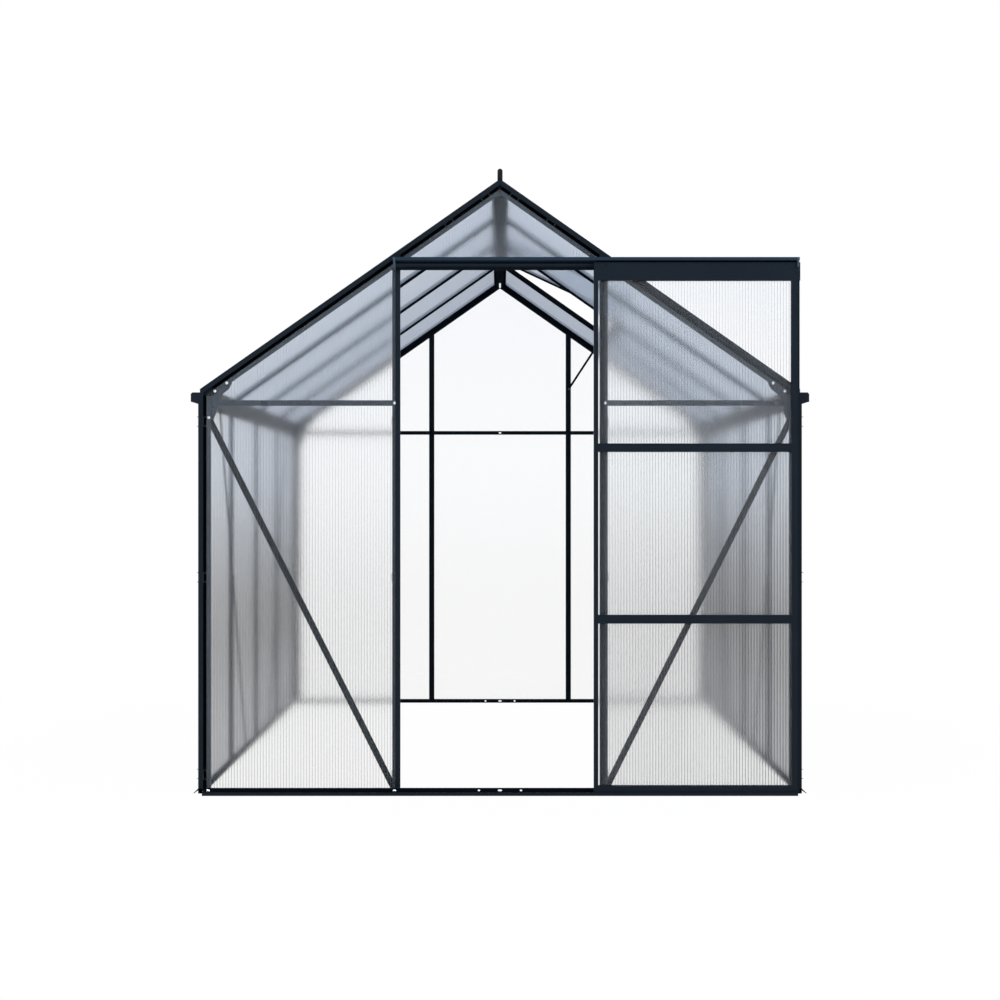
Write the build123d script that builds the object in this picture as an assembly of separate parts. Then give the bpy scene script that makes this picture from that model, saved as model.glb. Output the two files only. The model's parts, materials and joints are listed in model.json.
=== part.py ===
from build123d import *
import math
import os

os.makedirs("parts", exist_ok=True)

# Overall sizes, in millimetres: x runs to the right, y to the back, z up
HALF_WIDTH = 939.0
FRAME_DEPTH = 2470.0
EAVE_HEIGHT = 1214.0
ROOF_OVER_EAVE_HEIGHT = 40.7
ROOF_SLOPE_SHARE = 0.70
BAYS = 4

# Aluminium section that every wall and roof piece shares, measured inwards from the outer face
WALL = 2.0
SHEET = 4.0
SHEET_SET = 8.0
SHEET_GAP = 1.0
NOSE = 14.5
REBATE = 23.2
SEAT_WIDTH = 14.4

# Glazing bar between two sheets
BAR_SEAT = 23.4
BAR_NOSE = 9.0
BOLT_CHANNEL_WIDTH = 12.0
BOLT_CHANNEL_DEPTH = 5.5
BOLT_CHANNEL_MOUTH = 4.6

# Ground sills, with the sloped fin that throws water off
SILL_HEIGHT = 15.3
DRIP_WIDTH = 14.0
DRIP_TOP = 12.0
DRIP_THICK = 2.4
ANCHOR_SPACING = 131.0
ANCHOR_HOLE = 8.0
ANCHOR_SLOT_LENGTH = 13.4

# Doorway in the front gable
DOORWAY_WIDTH = 621.0
DOOR_POST_WIDTH = 14.5
DOOR_POST_SEAT = 11.0
HEADER_HEIGHT = 16.0
HEADER_DROP = 2.75

# Back wall posts
BACK_POST_SPACING = 615.4

# Eaves with their gutters
GUTTER_WIDTH = 23.0
GUTTER_DEPTH = 34.0
GUTTER_FALL = 5.0
GUTTER_CHAMFER = 5.0
RAFTER_TIP = 5.4

# Ridge
UPSTAND_WIDTH = 16.0
UPSTAND_RISE = 32.0
RIDGE_BOX = 33.0
RIDGE_SEAT = 9.5
RIDGE_DROP = 44.0
MITRE_GAP = 1.0

# Rails, braces and corner plates on the inner face
CROSS_RAIL_RISE = 1.6
FRONT_RAIL_WIDTH = 17.4
BACK_RAIL_WIDTH = 16.5
RAIL_THICK = 3.0
RAIL_SLOT_LENGTH = 11.7
RAIL_SLOT_HEIGHT = 6.6
BRACE_WIDTH = 19.4
BRACE_DROP = 42.0
BRACE_FOOT = 14.0
BRACE_INSET = 6.4
BRACE_FOOT_INSET = 6.0
SIDE_BRACE_SHARES = (0.538, 1.511)
GUSSET_SIZE = 80.0
GUSSET_MARGIN = 7.4
GUSSET_REACH_SHARES = (1.0, 0.884, 0.631, 0.405, 0.381, 0.291, 0.046)
GUSSET_DROP_SHARES = (0.163, 0.314, 0.333, 0.583, 0.918, 1.068, 0.994)

# Sliding door, shown slid fully open to the right
DOOR_LAP = 8.25
DOOR_OPEN_LAP = 20.25
DOOR_BOTTOM = 7.0
DOOR_TOP_CLEAR = 5.0
DOOR_THICK = 22.0
DOOR_CLEAR = 16.0
STILE_WIDTH = 13.3
OUTER_STILE_WIDTH = 18.6
STOP_STRIP_WIDTH = 7.7
STOP_STRIP_THICK = 10.0
TOP_RAIL_HEIGHT = 56.0
MID_RAIL_HEIGHT = 26.4
MID_RAIL_SHARES = (0.3275, 0.6508)
BOTTOM_RAIL_HEIGHT = 22.4
ROLLER_RADIUS = 8.0
ROLLER_THICK = 5.0
ROLLER_GAP = 0.3
AXLE_RADIUS = 3.0
ROLLER_INSET = 36.0

# Door track over the doorway and guide below it
TRACK_LAP = 2.0
TRACK_HEIGHT = 35.0
TRACK_DEPTH = 45.0
TRACK_LIP = 10.0
TRACK_LEDGE_RISE = 6.0
TRACK_LEDGE_WIDTH = 8.0
TRACK_OVERHANG = 13.6
TRACK_END_GAP = 9.5
END_CAP = 7.0
GUIDE_LIP = 10.0
GUIDE_INSET = 3.0

# Roof vent on the right slope, propped open on its stay
VENT_AFTER_BAYS = 2
VENT_LENGTH = 540.0
VENT_OPEN_DEG = 10.0
VENT_RAIL = 24.0
VENT_THICK = 14.0
VENT_LAP = 10.0
VENT_SILL_WIDTH = 20.0
VENT_SILL_LAP = 5.0
VENT_SILL_SET = 2.0
STAY_LENGTH = 398.0
STAY_LEAN_DEG = 57.2
STAY_WIDTH = 6.0
STAY_THICK = 4.0
STAY_INSET = 12.0
STAY_LUG_LENGTH = 22.0
STAY_LUG_THICK = 3.0

# Planes and heights worked out from the sizes above
APEX_HEIGHT = EAVE_HEIGHT + ROOF_OVER_EAVE_HEIGHT + ROOF_SLOPE_SHARE * HALF_WIDTH
SEAT = SHEET_SET + SHEET
INNER = SEAT + WALL
SILL_WIDTH = INNER + WALL
FRONT = (TRACK_DEPTH - DRIP_WIDTH - FRAME_DEPTH) / 2
BACK = FRONT + FRAME_DEPTH
SLANT = math.sqrt(1 + ROOF_SLOPE_SHARE ** 2)
NOSE_INNER = HALF_WIDTH - NOSE
REBATE_INNER = HALF_WIDTH - REBATE
SEAT_INNER = REBATE_INNER - SEAT_WIDTH
RAFTER_END = HALF_WIDTH - RAFTER_TIP
UPSTAND_HALF = UPSTAND_WIDTH / 2
RIDGE_REACH = RIDGE_BOX / 2 + RIDGE_SEAT
EAVE_REACH = HALF_WIDTH - INNER - SEAT_WIDTH
BAY = FRAME_DEPTH / BAYS
DOORWAY_HALF = DOORWAY_WIDTH / 2
SHEET_FOOT = WALL
CROSS_RAIL_HEIGHT = EAVE_HEIGHT + CROSS_RAIL_RISE
BRACE_TOP = EAVE_HEIGHT - BRACE_DROP


def roof(x, depth=0):
    """Height of the roof at a distance from the centre line, at a depth below its outer face."""
    return APEX_HEIGHT - ROOF_SLOPE_SHARE * abs(x) - depth * SLANT


def in_wall(depth, back=False):
    """Place in y of a depth inwards from the front gable's outer face, or from the back gable's."""
    return BACK - depth if back else FRONT + depth


def block(x0, x1, y0, y1, z0, z1):
    """Block between two corners, given in any order."""
    middle = Pos((x0 + x1) / 2, (y0 + y1) / 2, (z0 + z1) / 2)
    return middle * Box(abs(x1 - x0), abs(y1 - y0), abs(z1 - z0))


def along_y(points, y0, y1):
    """Section drawn in x and z, run between two places in y."""
    plane = Plane(origin=(0, max(y0, y1), 0), x_dir=(1, 0, 0), z_dir=(0, -1, 0))
    return extrude(plane * Polygon(*points, align=None), amount=abs(y1 - y0), dir=(0, -1, 0))


def along_x(points, x0, x1):
    """Section drawn in y and z, run between two places in x."""
    plane = Plane(origin=(min(x0, x1), 0, 0), x_dir=(0, 1, 0), z_dir=(1, 0, 0))
    return extrude(plane * Polygon(*points, align=None), amount=abs(x1 - x0), dir=(1, 0, 0))


def roof_band(side, x0, x1, depth0, depth1, y0, y1):
    """Bar that follows the roof slope between two depths, with upright ends."""
    points = [(side * x0, roof(x0, depth0)), (side * x1, roof(x1, depth0)),
              (side * x1, roof(x1, depth1)), (side * x0, roof(x0, depth1))]
    return along_y(points, y0, y1)


def under_roof(x0, x1, z0, depth, y0, y1):
    """Upright piece from a level foot to a top that follows the roof at a depth."""
    points = [(x0, z0), (x1, z0), (x1, roof(x1, depth))]
    if x0 * x1 < 0:
        points.append((0, roof(0, depth)))
    points.append((x0, roof(x0, depth)))
    return along_y(points, y0, y1)


def tube_x(x0, x1, y0, y1, z0, z1):
    """Hollow rectangular bar along x, open at its ends."""
    outer = block(x0, x1, y0, y1, z0, z1)
    return outer - block(x0, x1, y0 + WALL, y1 - WALL, z0 + WALL, z1 - WALL)


def tube_z(x0, x1, y0, y1, z0, z1):
    """Hollow rectangular bar along z, open at its ends."""
    outer = block(x0, x1, y0, y1, z0, z1)
    return outer - block(x0 + WALL, x1 - WALL, y0 + WALL, y1 - WALL, z0, z1)


def write(node, *pieces):
    """Write a node's solids to its own file."""
    solids = [solid for piece in pieces for solid in piece.solids()]
    shape = solids[0] if len(solids) == 1 else Compound(children=solids)
    export_step(shape, f"parts/{node}.step")


HEADER_TOP = roof(DOORWAY_HALF, REBATE + SEAT_WIDTH) - HEADER_DROP
HEADER_BOTTOM = HEADER_TOP - HEADER_HEIGHT
TRACK_BOTTOM = HEADER_BOTTOM - TRACK_LAP
TRACK_TOP = TRACK_BOTTOM + TRACK_HEIGHT
DOOR_TOP = TRACK_TOP - TRACK_LIP - DOOR_TOP_CLEAR
DOOR_WIDTH = DOORWAY_WIDTH + 2 * DOOR_LAP


# Ground sills: channels that hold the feet of the sheets

def sill_section(drip):
    """Channel section as depth inwards and height, with or without the drip fin."""
    channel = [(0, SILL_HEIGHT), (WALL, SILL_HEIGHT), (WALL, WALL), (INNER, WALL), (INNER, SILL_HEIGHT),
               (SILL_WIDTH, SILL_HEIGHT), (SILL_WIDTH, 0), (0, 0)]
    if not drip:
        return channel
    return channel + [(0, DRIP_TOP - DRIP_THICK), (-DRIP_WIDTH, 0), (-DRIP_WIDTH, DRIP_THICK), (0, DRIP_TOP)]


def side_sill(side):
    points = [(side * (HALF_WIDTH - depth), z) for depth, z in sill_section(True)]
    return along_y(points, FRONT, BACK)


def end_sill(back):
    """Front or back sill, between the side sills, with anchor holes where the channel is open to the room."""
    points = [(in_wall(depth, back), z) for depth, z in sill_section(back)]
    half = HALF_WIDTH - SILL_WIDTH
    sill = along_x(points, -half, half)
    height = (SILL_HEIGHT + WALL) / 2
    start, end = in_wall(INNER if back else 0, back), in_wall(SILL_WIDTH, back)
    hole = Rot(90, 0, 0) * Cylinder(ANCHOR_HOLE / 2, abs(end - start))
    for x in (-ANCHOR_SPACING / 2, ANCHOR_SPACING / 2):
        sill -= Pos(x, (start + end) / 2, height) * hole
    slot = extrude(SlotOverall(ANCHOR_SLOT_LENGTH, ANCHOR_HOLE), amount=abs(end - start) / 2, both=True)
    return sill - Pos(0, (start + end) / 2, height) * Rot(90, 0, 0) * slot


write("left_sill", side_sill(-1))
write("right_sill", side_sill(1))
write("front_sill", end_sill(False))
write("back_sill", end_sill(True))


# Corner posts: a hollow nose with a seat for the end sheet and one for the side sheet, past an open groove

def corner_post(side, back):
    inner, outer = sorted((side * NOSE_INNER, side * HALF_WIDTH))
    y0, y1 = in_wall(0, back), in_wall(NOSE, back)
    post = under_roof(inner, outer, SILL_HEIGHT, NOSE, y0, y1)
    hollow0, hollow1 = in_wall(WALL, back), in_wall(NOSE - WALL, back)
    post -= under_roof(inner + WALL, outer - WALL, SILL_HEIGHT, NOSE, hollow0, hollow1)
    groove = sorted((side * REBATE_INNER, side * NOSE_INNER))
    ends = sorted((side * SEAT_INNER, side * REBATE_INNER))
    seat0, seat1 = in_wall(SEAT, back), in_wall(INNER, back)
    post += under_roof(*groove, SILL_HEIGHT, NOSE, seat0, seat1)
    post += under_roof(*ends, SILL_HEIGHT, REBATE + SEAT_WIDTH, seat0, seat1)
    side_end = in_wall(REBATE + SEAT_WIDTH, back)
    post += block(side * (HALF_WIDTH - SEAT), side * (HALF_WIDTH - INNER), y1, side_end,
                  SILL_HEIGHT, EAVE_HEIGHT - SEAT_WIDTH)
    return post


write("front_corner_posts", corner_post(-1, False), corner_post(1, False))
write("back_corner_posts", corner_post(-1, True), corner_post(1, True))


# Door posts: slimmer boxes with one seat, on the side away from the doorway

def door_post(side):
    inner, outer = DOORWAY_HALF, DOORWAY_HALF + DOOR_POST_WIDTH
    nose = sorted((side * inner, side * outer))
    post = under_roof(*nose, SILL_HEIGHT, NOSE, in_wall(0), in_wall(SEAT))
    post -= under_roof(nose[0] + WALL, nose[1] - WALL, SILL_HEIGHT, NOSE, in_wall(WALL), in_wall(SEAT))
    plate = sorted((side * inner, side * (outer + DOOR_POST_SEAT)))
    return post + under_roof(*plate, SILL_HEIGHT, REBATE + SEAT_WIDTH, in_wall(SEAT), in_wall(INNER))


def door_header():
    """Channel over the doorway that holds the foot of the gable sheet."""
    floor = HEADER_BOTTOM + WALL
    points = [(0, HEADER_BOTTOM), (0, HEADER_TOP), (WALL, HEADER_TOP), (WALL, floor), (SEAT, floor),
              (SEAT, HEADER_TOP), (INNER, HEADER_TOP), (INNER, HEADER_BOTTOM)]
    return along_x([(in_wall(depth), z) for depth, z in points], -DOORWAY_HALF, DOORWAY_HALF)


write("door_posts", door_post(-1), door_post(1))
write("door_header", door_header())


# Glazing bars of the back and side walls: a hollow nose between two sheets on one flat seat

def back_post(x):
    half = BAR_NOSE / 2
    hollow = half - WALL
    nose = under_roof(x - half, x + half, SILL_HEIGHT, NOSE, in_wall(0, True), in_wall(SEAT, True))
    nose -= under_roof(x - hollow, x + hollow, SILL_HEIGHT, NOSE,
                       in_wall(WALL, True), in_wall(SEAT, True))
    return nose + under_roof(x - BAR_SEAT / 2, x + BAR_SEAT / 2, SILL_HEIGHT, REBATE + SEAT_WIDTH,
                             in_wall(SEAT, True), in_wall(INNER, True))


def side_post(side, y):
    seat = side * (HALF_WIDTH - SEAT)
    half = BAR_NOSE / 2
    post = block(side * HALF_WIDTH, seat, y - half, y + half, SILL_HEIGHT, EAVE_HEIGHT)
    post -= block(side * (HALF_WIDTH - WALL), seat, y - half + WALL, y + half - WALL,
                  SILL_HEIGHT, EAVE_HEIGHT)
    return post + block(seat, side * (HALF_WIDTH - INNER), y - BAR_SEAT / 2, y + BAR_SEAT / 2,
                        SILL_HEIGHT, EAVE_HEIGHT - SEAT_WIDTH)


bar_places = [FRONT + BAY * count for count in range(1, BAYS)]
write("back_wall_posts", back_post(-BACK_POST_SPACING / 2), back_post(BACK_POST_SPACING / 2))
write("left_wall_posts", *[side_post(-1, y) for y in bar_places])
write("right_wall_posts", *[side_post(1, y) for y in bar_places])


# Eaves: one section makes the wall plate, the seat of the roof sheets and the gutter

def eave_gutter(side):
    web_in, web_out = HALF_WIDTH - INNER, HALF_WIDTH - SEAT
    lip = HALF_WIDTH + GUTTER_WIDTH
    top = EAVE_HEIGHT + GUTTER_DEPTH
    lip_drop = WALL * (math.sqrt(2) - 1)
    floor_end = EAVE_HEIGHT + GUTTER_FALL * (GUTTER_WIDTH - WALL) / GUTTER_WIDTH + WALL
    trough = [(HALF_WIDTH, EAVE_HEIGHT), (lip, EAVE_HEIGHT + GUTTER_FALL), (lip, top - GUTTER_CHAMFER),
              (lip - GUTTER_CHAMFER, top), (lip - GUTTER_CHAMFER - WALL, top - lip_drop),
              (lip - WALL, top - GUTTER_CHAMFER - lip_drop), (lip - WALL, floor_end),
              (HALF_WIDTH, EAVE_HEIGHT + WALL)]
    foot = EAVE_HEIGHT - SEAT_WIDTH
    plate = [(web_out, EAVE_HEIGHT + WALL), (web_out, roof(web_out, SEAT)),
             (EAVE_REACH, roof(EAVE_REACH, SEAT)), (EAVE_REACH, roof(EAVE_REACH, INNER)),
             (web_in, roof(web_in, INNER)), (web_in, foot), (web_out, foot), (web_out, EAVE_HEIGHT)]
    cap = [trough[0], trough[1], trough[2], trough[3], (HALF_WIDTH, top)]

    def sided(points):
        return [(side * x, z) for x, z in points]

    eave = along_y(sided(trough + plate), FRONT + NOSE, BACK - NOSE)
    eave += along_y(sided(trough), FRONT, FRONT + NOSE)
    eave += along_y(sided(trough), BACK - NOSE, BACK)
    eave += along_y(sided(cap), FRONT, FRONT + WALL)
    return eave + along_y(sided(cap), BACK - WALL, BACK)


write("left_eave_gutter", eave_gutter(-1))
write("right_eave_gutter", eave_gutter(1))


# Ridge: a hollow beam between the gables under a round-topped upstand that runs over them

def ridge_beam():
    box, low = RIDGE_BOX / 2, APEX_HEIGHT - RIDGE_DROP
    half = [(UPSTAND_HALF, roof(UPSTAND_HALF, SEAT)), (RIDGE_REACH, roof(RIDGE_REACH, SEAT)),
            (RIDGE_REACH, roof(RIDGE_REACH, INNER)), (box, roof(box, INNER)), (box, low)]
    section = half + [(-x, z) for x, z in reversed(half)]
    void_half = box - WALL
    void = [(-void_half, low + WALL), (void_half, low + WALL), (void_half, roof(void_half, INNER + WALL)),
            (0, roof(0, INNER + WALL)), (-void_half, roof(void_half, INNER + WALL))]
    y0, y1 = FRONT + NOSE, BACK - NOSE
    beam = along_y(section, y0, y1) - along_y(void, y0, y1)
    shoulder = APEX_HEIGHT + UPSTAND_RISE - UPSTAND_HALF
    foot = roof(UPSTAND_HALF, SEAT)
    beam += block(-UPSTAND_HALF, UPSTAND_HALF, y0, y1, foot, shoulder)
    for start, end in ((FRONT, y0), (y1, BACK)):
        over = [(-UPSTAND_HALF, shoulder), (-UPSTAND_HALF, roof(UPSTAND_HALF)), (0, roof(0)),
                (UPSTAND_HALF, roof(UPSTAND_HALF)), (UPSTAND_HALF, shoulder)]
        beam += along_y(over, start, end)
    round_top = Pos(0, (FRONT + BACK) / 2, shoulder) * Rot(90, 0, 0)
    beam += round_top * Cylinder(UPSTAND_HALF, FRAME_DEPTH)
    hollow = UPSTAND_HALF - WALL
    beam -= block(-hollow, hollow, FRONT, BACK, APEX_HEIGHT + WALL, shoulder)
    return beam - round_top * Cylinder(hollow, FRAME_DEPTH)


write("ridge_beam", ridge_beam())


# Gable rafters: the corner post's section laid along the roof's edge

def gable_rafter(side, back):
    start = MITRE_GAP / 2
    y0, y1 = in_wall(0, back), in_wall(NOSE, back)
    rafter = roof_band(side, start, RAFTER_END, 0, NOSE, y0, y1)
    hollow0, hollow1 = in_wall(WALL, back), in_wall(NOSE - WALL, back)
    rafter -= roof_band(side, start, RAFTER_END, WALL, NOSE - WALL, hollow0, hollow1)
    seat0, seat1 = in_wall(SEAT, back), in_wall(INNER, back)
    rafter += roof_band(side, start, REBATE_INNER, NOSE, REBATE + SEAT_WIDTH, seat0, seat1)
    end = in_wall(REBATE + SEAT_WIDTH, back)
    return rafter + roof_band(side, RIDGE_REACH, EAVE_REACH, SEAT, INNER, y1, end)


write("front_gable_rafters", gable_rafter(-1, False), gable_rafter(1, False))
write("back_gable_rafters", gable_rafter(-1, True), gable_rafter(1, True))


# Roof bars: the wall's glazing bar with a channel below that takes the heads of bolts

def roof_bar(side, y):
    half = BAR_NOSE / 2
    bar = roof_band(side, UPSTAND_HALF, RAFTER_END, 0, SEAT, y - half, y + half)
    bar -= roof_band(side, UPSTAND_HALF, RAFTER_END, WALL, SEAT, y - half + WALL, y + half - WALL)
    bar += roof_band(side, RIDGE_REACH, EAVE_REACH, SEAT, INNER, y - BAR_SEAT / 2, y + BAR_SEAT / 2)
    channel, mouth = BOLT_CHANNEL_WIDTH / 2, BOLT_CHANNEL_MOUTH / 2
    low = INNER + BOLT_CHANNEL_DEPTH
    bar += roof_band(side, RIDGE_REACH, EAVE_REACH, INNER, low, y - channel, y + channel)
    bar -= roof_band(side, RIDGE_REACH, EAVE_REACH, INNER, low - WALL, y - channel + WALL, y + channel - WALL)
    return bar - roof_band(side, RIDGE_REACH, EAVE_REACH, low - WALL, low, y - mouth, y + mouth)


write("left_roof_bars", *[roof_bar(-1, y) for y in bar_places])
write("right_roof_bars", *[roof_bar(1, y) for y in bar_places])


# Corner plates, cross rails and braces, bolted flat to the inner faces

def gusset(side, back):
    """Plate that ties a corner post to its gable rafter."""
    def edge(reach):
        return REBATE_INNER - reach, roof(REBATE_INNER - reach, REBATE) - GUSSET_MARGIN

    reaches = [share * GUSSET_SIZE for share in GUSSET_REACH_SHARES]
    drops = [share * GUSSET_SIZE for share in GUSSET_DROP_SHARES]
    points = [edge(reaches[-1]), edge(reaches[0])]
    for reach, drop in zip(reaches, drops):
        x, z = edge(reach)
        points.append((x, z - drop))
    return along_y([(side * x, z) for x, z in points], in_wall(INNER, back), in_wall(INNER + WALL, back))


gussets = {(side, back): gusset(side, back) for side in (-1, 1) for back in (False, True)}
rail_end = REBATE_INNER - GUSSET_SIZE * GUSSET_REACH_SHARES[-1] * 2


def cross_rail(x0, x1, width, back):
    """Flat rail at the height of the eaves, cut back where it laps the corner plates."""
    low = CROSS_RAIL_HEIGHT - width / 2
    rail = block(x0, x1, in_wall(INNER, back), in_wall(INNER + RAIL_THICK, back), low, low + width)
    for side in (-1, 1):
        rail -= gussets[side, back]
    return rail


def back_rail():
    """Cross rail of the back gable, with a short slot at its middle."""
    rail = cross_rail(-rail_end, rail_end, BACK_RAIL_WIDTH, True)
    slot = extrude(SlotOverall(RAIL_SLOT_LENGTH, RAIL_SLOT_HEIGHT), amount=RAIL_THICK, both=True)
    return rail - Pos(0, in_wall(INNER + RAIL_THICK / 2, True), CROSS_RAIL_HEIGHT) * Rot(90, 0, 0) * slot


def flat_brace(start, end):
    """Outline of a flat bar, in the plane of its wall, between two bolts."""
    run, rise = end[0] - start[0], end[1] - start[1]
    length = math.hypot(run, rise)
    across = (-rise / length * BRACE_WIDTH / 2, run / length * BRACE_WIDTH / 2)
    return [(start[0] + across[0], start[1] + across[1]), (end[0] + across[0], end[1] + across[1]),
            (end[0] - across[0], end[1] - across[1]), (start[0] - across[0], start[1] - across[1])]


def front_brace(side):
    """Bar from the corner plate down to the foot of the door post."""
    top = (side * (REBATE_INNER - BRACE_INSET), BRACE_TOP)
    foot = (side * (DOORWAY_HALF + DOOR_POST_WIDTH + BRACE_FOOT_INSET), BRACE_FOOT)
    bar = along_y(flat_brace(top, foot), in_wall(INNER), in_wall(INNER + WALL))
    keep = block(side * DOORWAY_HALF, side * REBATE_INNER, FRONT, BACK, SILL_HEIGHT, APEX_HEIGHT)
    return (bar & keep) - gussets[side, False]


def side_brace(side, back):
    """Bar from the eave's web down to the sill, across the first wall post from its end."""
    high, low = [in_wall(share * BAY, back) for share in SIDE_BRACE_SHARES]
    top_edge = EAVE_HEIGHT - WALL
    bar = along_x(flat_brace((high, EAVE_HEIGHT), (low, 0)), side * (HALF_WIDTH - INNER),
                  side * (HALF_WIDTH - INNER - WALL))
    return bar & block(0, side * HALF_WIDTH, FRONT, BACK, SILL_HEIGHT, top_edge)


write("eave_gussets", *gussets.values())
write("front_cross_rails", cross_rail(-rail_end, -DOORWAY_HALF, FRONT_RAIL_WIDTH, False),
      cross_rail(DOORWAY_HALF, rail_end, FRONT_RAIL_WIDTH, False))
write("back_cross_rail", back_rail())
write("front_braces", front_brace(-1), front_brace(1))
write("left_wall_braces", side_brace(-1, False), side_brace(-1, True))
write("right_wall_braces", side_brace(1, False), side_brace(1, True))


# Wall and roof sheets of fluted twin-wall plastic, in front of their seats

sheet_top = REBATE + SHEET_GAP


def end_sheet(x0, x1, z0, back):
    return under_roof(x0, x1, z0, sheet_top, in_wall(SHEET_SET, back), in_wall(SEAT, back))


def bay_ends(number):
    """Ends in y of the sheet in one bay of the side walls and the roof."""
    low = FRONT + BAY * number + BAR_NOSE / 2
    high = FRONT + BAY * (number + 1) - BAR_NOSE / 2
    if number == 0:
        low = FRONT + REBATE
    if number == BAYS - 1:
        high = BACK - REBATE
    return low + SHEET_GAP, high - SHEET_GAP


def side_sheet(side, number):
    outer, inner = side * (HALF_WIDTH - SHEET_SET), side * (HALF_WIDTH - SEAT)
    return block(outer, inner, *bay_ends(number), SHEET_FOOT, EAVE_HEIGHT)


def roof_sheet(side, number, start):
    return roof_band(side, start, RAFTER_END, SHEET_SET, SEAT, *bay_ends(number))


outer_edge = REBATE_INNER - SHEET_GAP
door_edge = DOORWAY_HALF + DOOR_POST_WIDTH + SHEET_GAP
gable_half = DOORWAY_HALF - SHEET_GAP
post_out = BACK_POST_SPACING / 2 + BAR_NOSE / 2 + SHEET_GAP
post_in = BACK_POST_SPACING / 2 - BAR_NOSE / 2 - SHEET_GAP
ridge_edge = UPSTAND_HALF + SHEET_GAP
vent_closed_end = UPSTAND_HALF + VENT_LENGTH / SLANT
vent_sill_start = vent_closed_end - VENT_SILL_LAP
under_vent = vent_sill_start + VENT_SILL_WIDTH + SHEET_GAP

write("front_wall_panes", end_sheet(-outer_edge, -door_edge, SHEET_FOOT, False),
      end_sheet(-gable_half, gable_half, HEADER_BOTTOM + WALL, False),
      end_sheet(door_edge, outer_edge, SHEET_FOOT, False))
write("back_wall_panes", end_sheet(-outer_edge, -post_out, SHEET_FOOT, True),
      end_sheet(-post_in, post_in, SHEET_FOOT, True), end_sheet(post_out, outer_edge, SHEET_FOOT, True))
write("left_wall_panes", *[side_sheet(-1, number) for number in range(BAYS)])
write("right_wall_panes", *[side_sheet(1, number) for number in range(BAYS)])
write("left_roof_panes", *[roof_sheet(-1, number, ridge_edge) for number in range(BAYS)])
write("right_roof_panes", *[roof_sheet(1, number, under_vent if number == VENT_AFTER_BAYS else ridge_edge)
                            for number in range(BAYS)])


# Roof vent: a framed sheet hung on the ridge's upstand, a sill bar across the bay and a stay

vent_angle = math.atan(ROOF_SLOPE_SHARE) - math.radians(VENT_OPEN_DEG)
vent_low = FRONT + BAY * VENT_AFTER_BAYS
vent_high = vent_low + BAY


def vent_point(along, up):
    """Place on the open vent: a distance down from its hinge and a height over its underside."""
    x = UPSTAND_HALF + along * math.cos(vent_angle) + up * math.sin(vent_angle)
    return x, roof(UPSTAND_HALF) - along * math.sin(vent_angle) + up * math.cos(vent_angle)


def vent_band(start, end, low, high):
    return [vent_point(start, low), vent_point(end, low), vent_point(end, high), vent_point(start, high)]


def vent_frame():
    y0, y1 = vent_low - VENT_LAP, vent_high + VENT_LAP
    hinge_end = -VENT_THICK * math.tan(vent_angle)
    frame = along_y(vent_band(hinge_end, VENT_LENGTH, 0, VENT_THICK), y0, y1)
    frame -= along_y(vent_band(VENT_RAIL, VENT_LENGTH - VENT_RAIL, 0, VENT_THICK),
                     y0 + VENT_RAIL, y1 - VENT_RAIL)
    return frame & block(UPSTAND_HALF, HALF_WIDTH, y0, y1, 0, APEX_HEIGHT + UPSTAND_RISE)


def vent_pane():
    low = (VENT_THICK - SHEET) / 2
    return along_y(vent_band(VENT_RAIL, VENT_LENGTH - VENT_RAIL, low, low + SHEET),
                   vent_low - VENT_LAP + VENT_RAIL, vent_high + VENT_LAP - VENT_RAIL)


stay_middle = (vent_low + vent_high) / 2


def vent_sill_bar():
    """Bar across the bay, between the noses of its roof bars, with a lug beside the stay."""
    y0, y1 = vent_low + BAR_NOSE / 2, vent_high - BAR_NOSE / 2
    bar = roof_band(1, vent_sill_start, vent_sill_start + VENT_SILL_WIDTH, VENT_SILL_SET, SEAT, y0, y1)
    lug = stay_middle + STAY_THICK / 2
    return bar + roof_band(1, vent_sill_start - STAY_LUG_LENGTH, vent_sill_start, VENT_SILL_SET, SEAT,
                           lug, lug + STAY_LUG_THICK)


def vent_stay():
    """Flat bar that hangs from the vent's lower rail through its opening."""
    x, z = vent_point(VENT_LENGTH - STAY_INSET, 0)
    lean = math.radians(STAY_LEAN_DEG)
    reach = (math.cos(lean), math.sin(lean))
    across = (reach[1] * STAY_WIDTH / 2, -reach[0] * STAY_WIDTH / 2)
    top = (x + reach[0] * STAY_WIDTH, z + reach[1] * STAY_WIDTH)
    foot = (x - reach[0] * STAY_LENGTH, z - reach[1] * STAY_LENGTH)
    points = [(top[0] + across[0], top[1] + across[1]), (foot[0] + across[0], foot[1] + across[1]),
              (foot[0] - across[0], foot[1] - across[1]), (top[0] - across[0], top[1] - across[1])]
    bar = along_y(points, stay_middle - STAY_THICK / 2, stay_middle + STAY_THICK / 2)
    beyond = vent_point(VENT_LENGTH * 2, 0)
    under = [vent_point(0, 0), beyond, (beyond[0], 0), (UPSTAND_HALF, 0)]
    return bar & along_y(under, vent_low, vent_high)


write("vent_frame", vent_frame())
write("vent_pane", vent_pane())
write("vent_sill_bar", vent_sill_bar())
write("vent_stay", vent_stay())


# Door track: a hooded channel on the gable's face, with a ledge that the door's rollers run on

door_left = DOORWAY_HALF - DOOR_OPEN_LAP
door_right = door_left + DOOR_WIDTH
track_left = -DOORWAY_HALF - TRACK_OVERHANG
track_right = door_right - TRACK_END_GAP
track_ledge = TRACK_BOTTOM + TRACK_LEDGE_RISE


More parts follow.
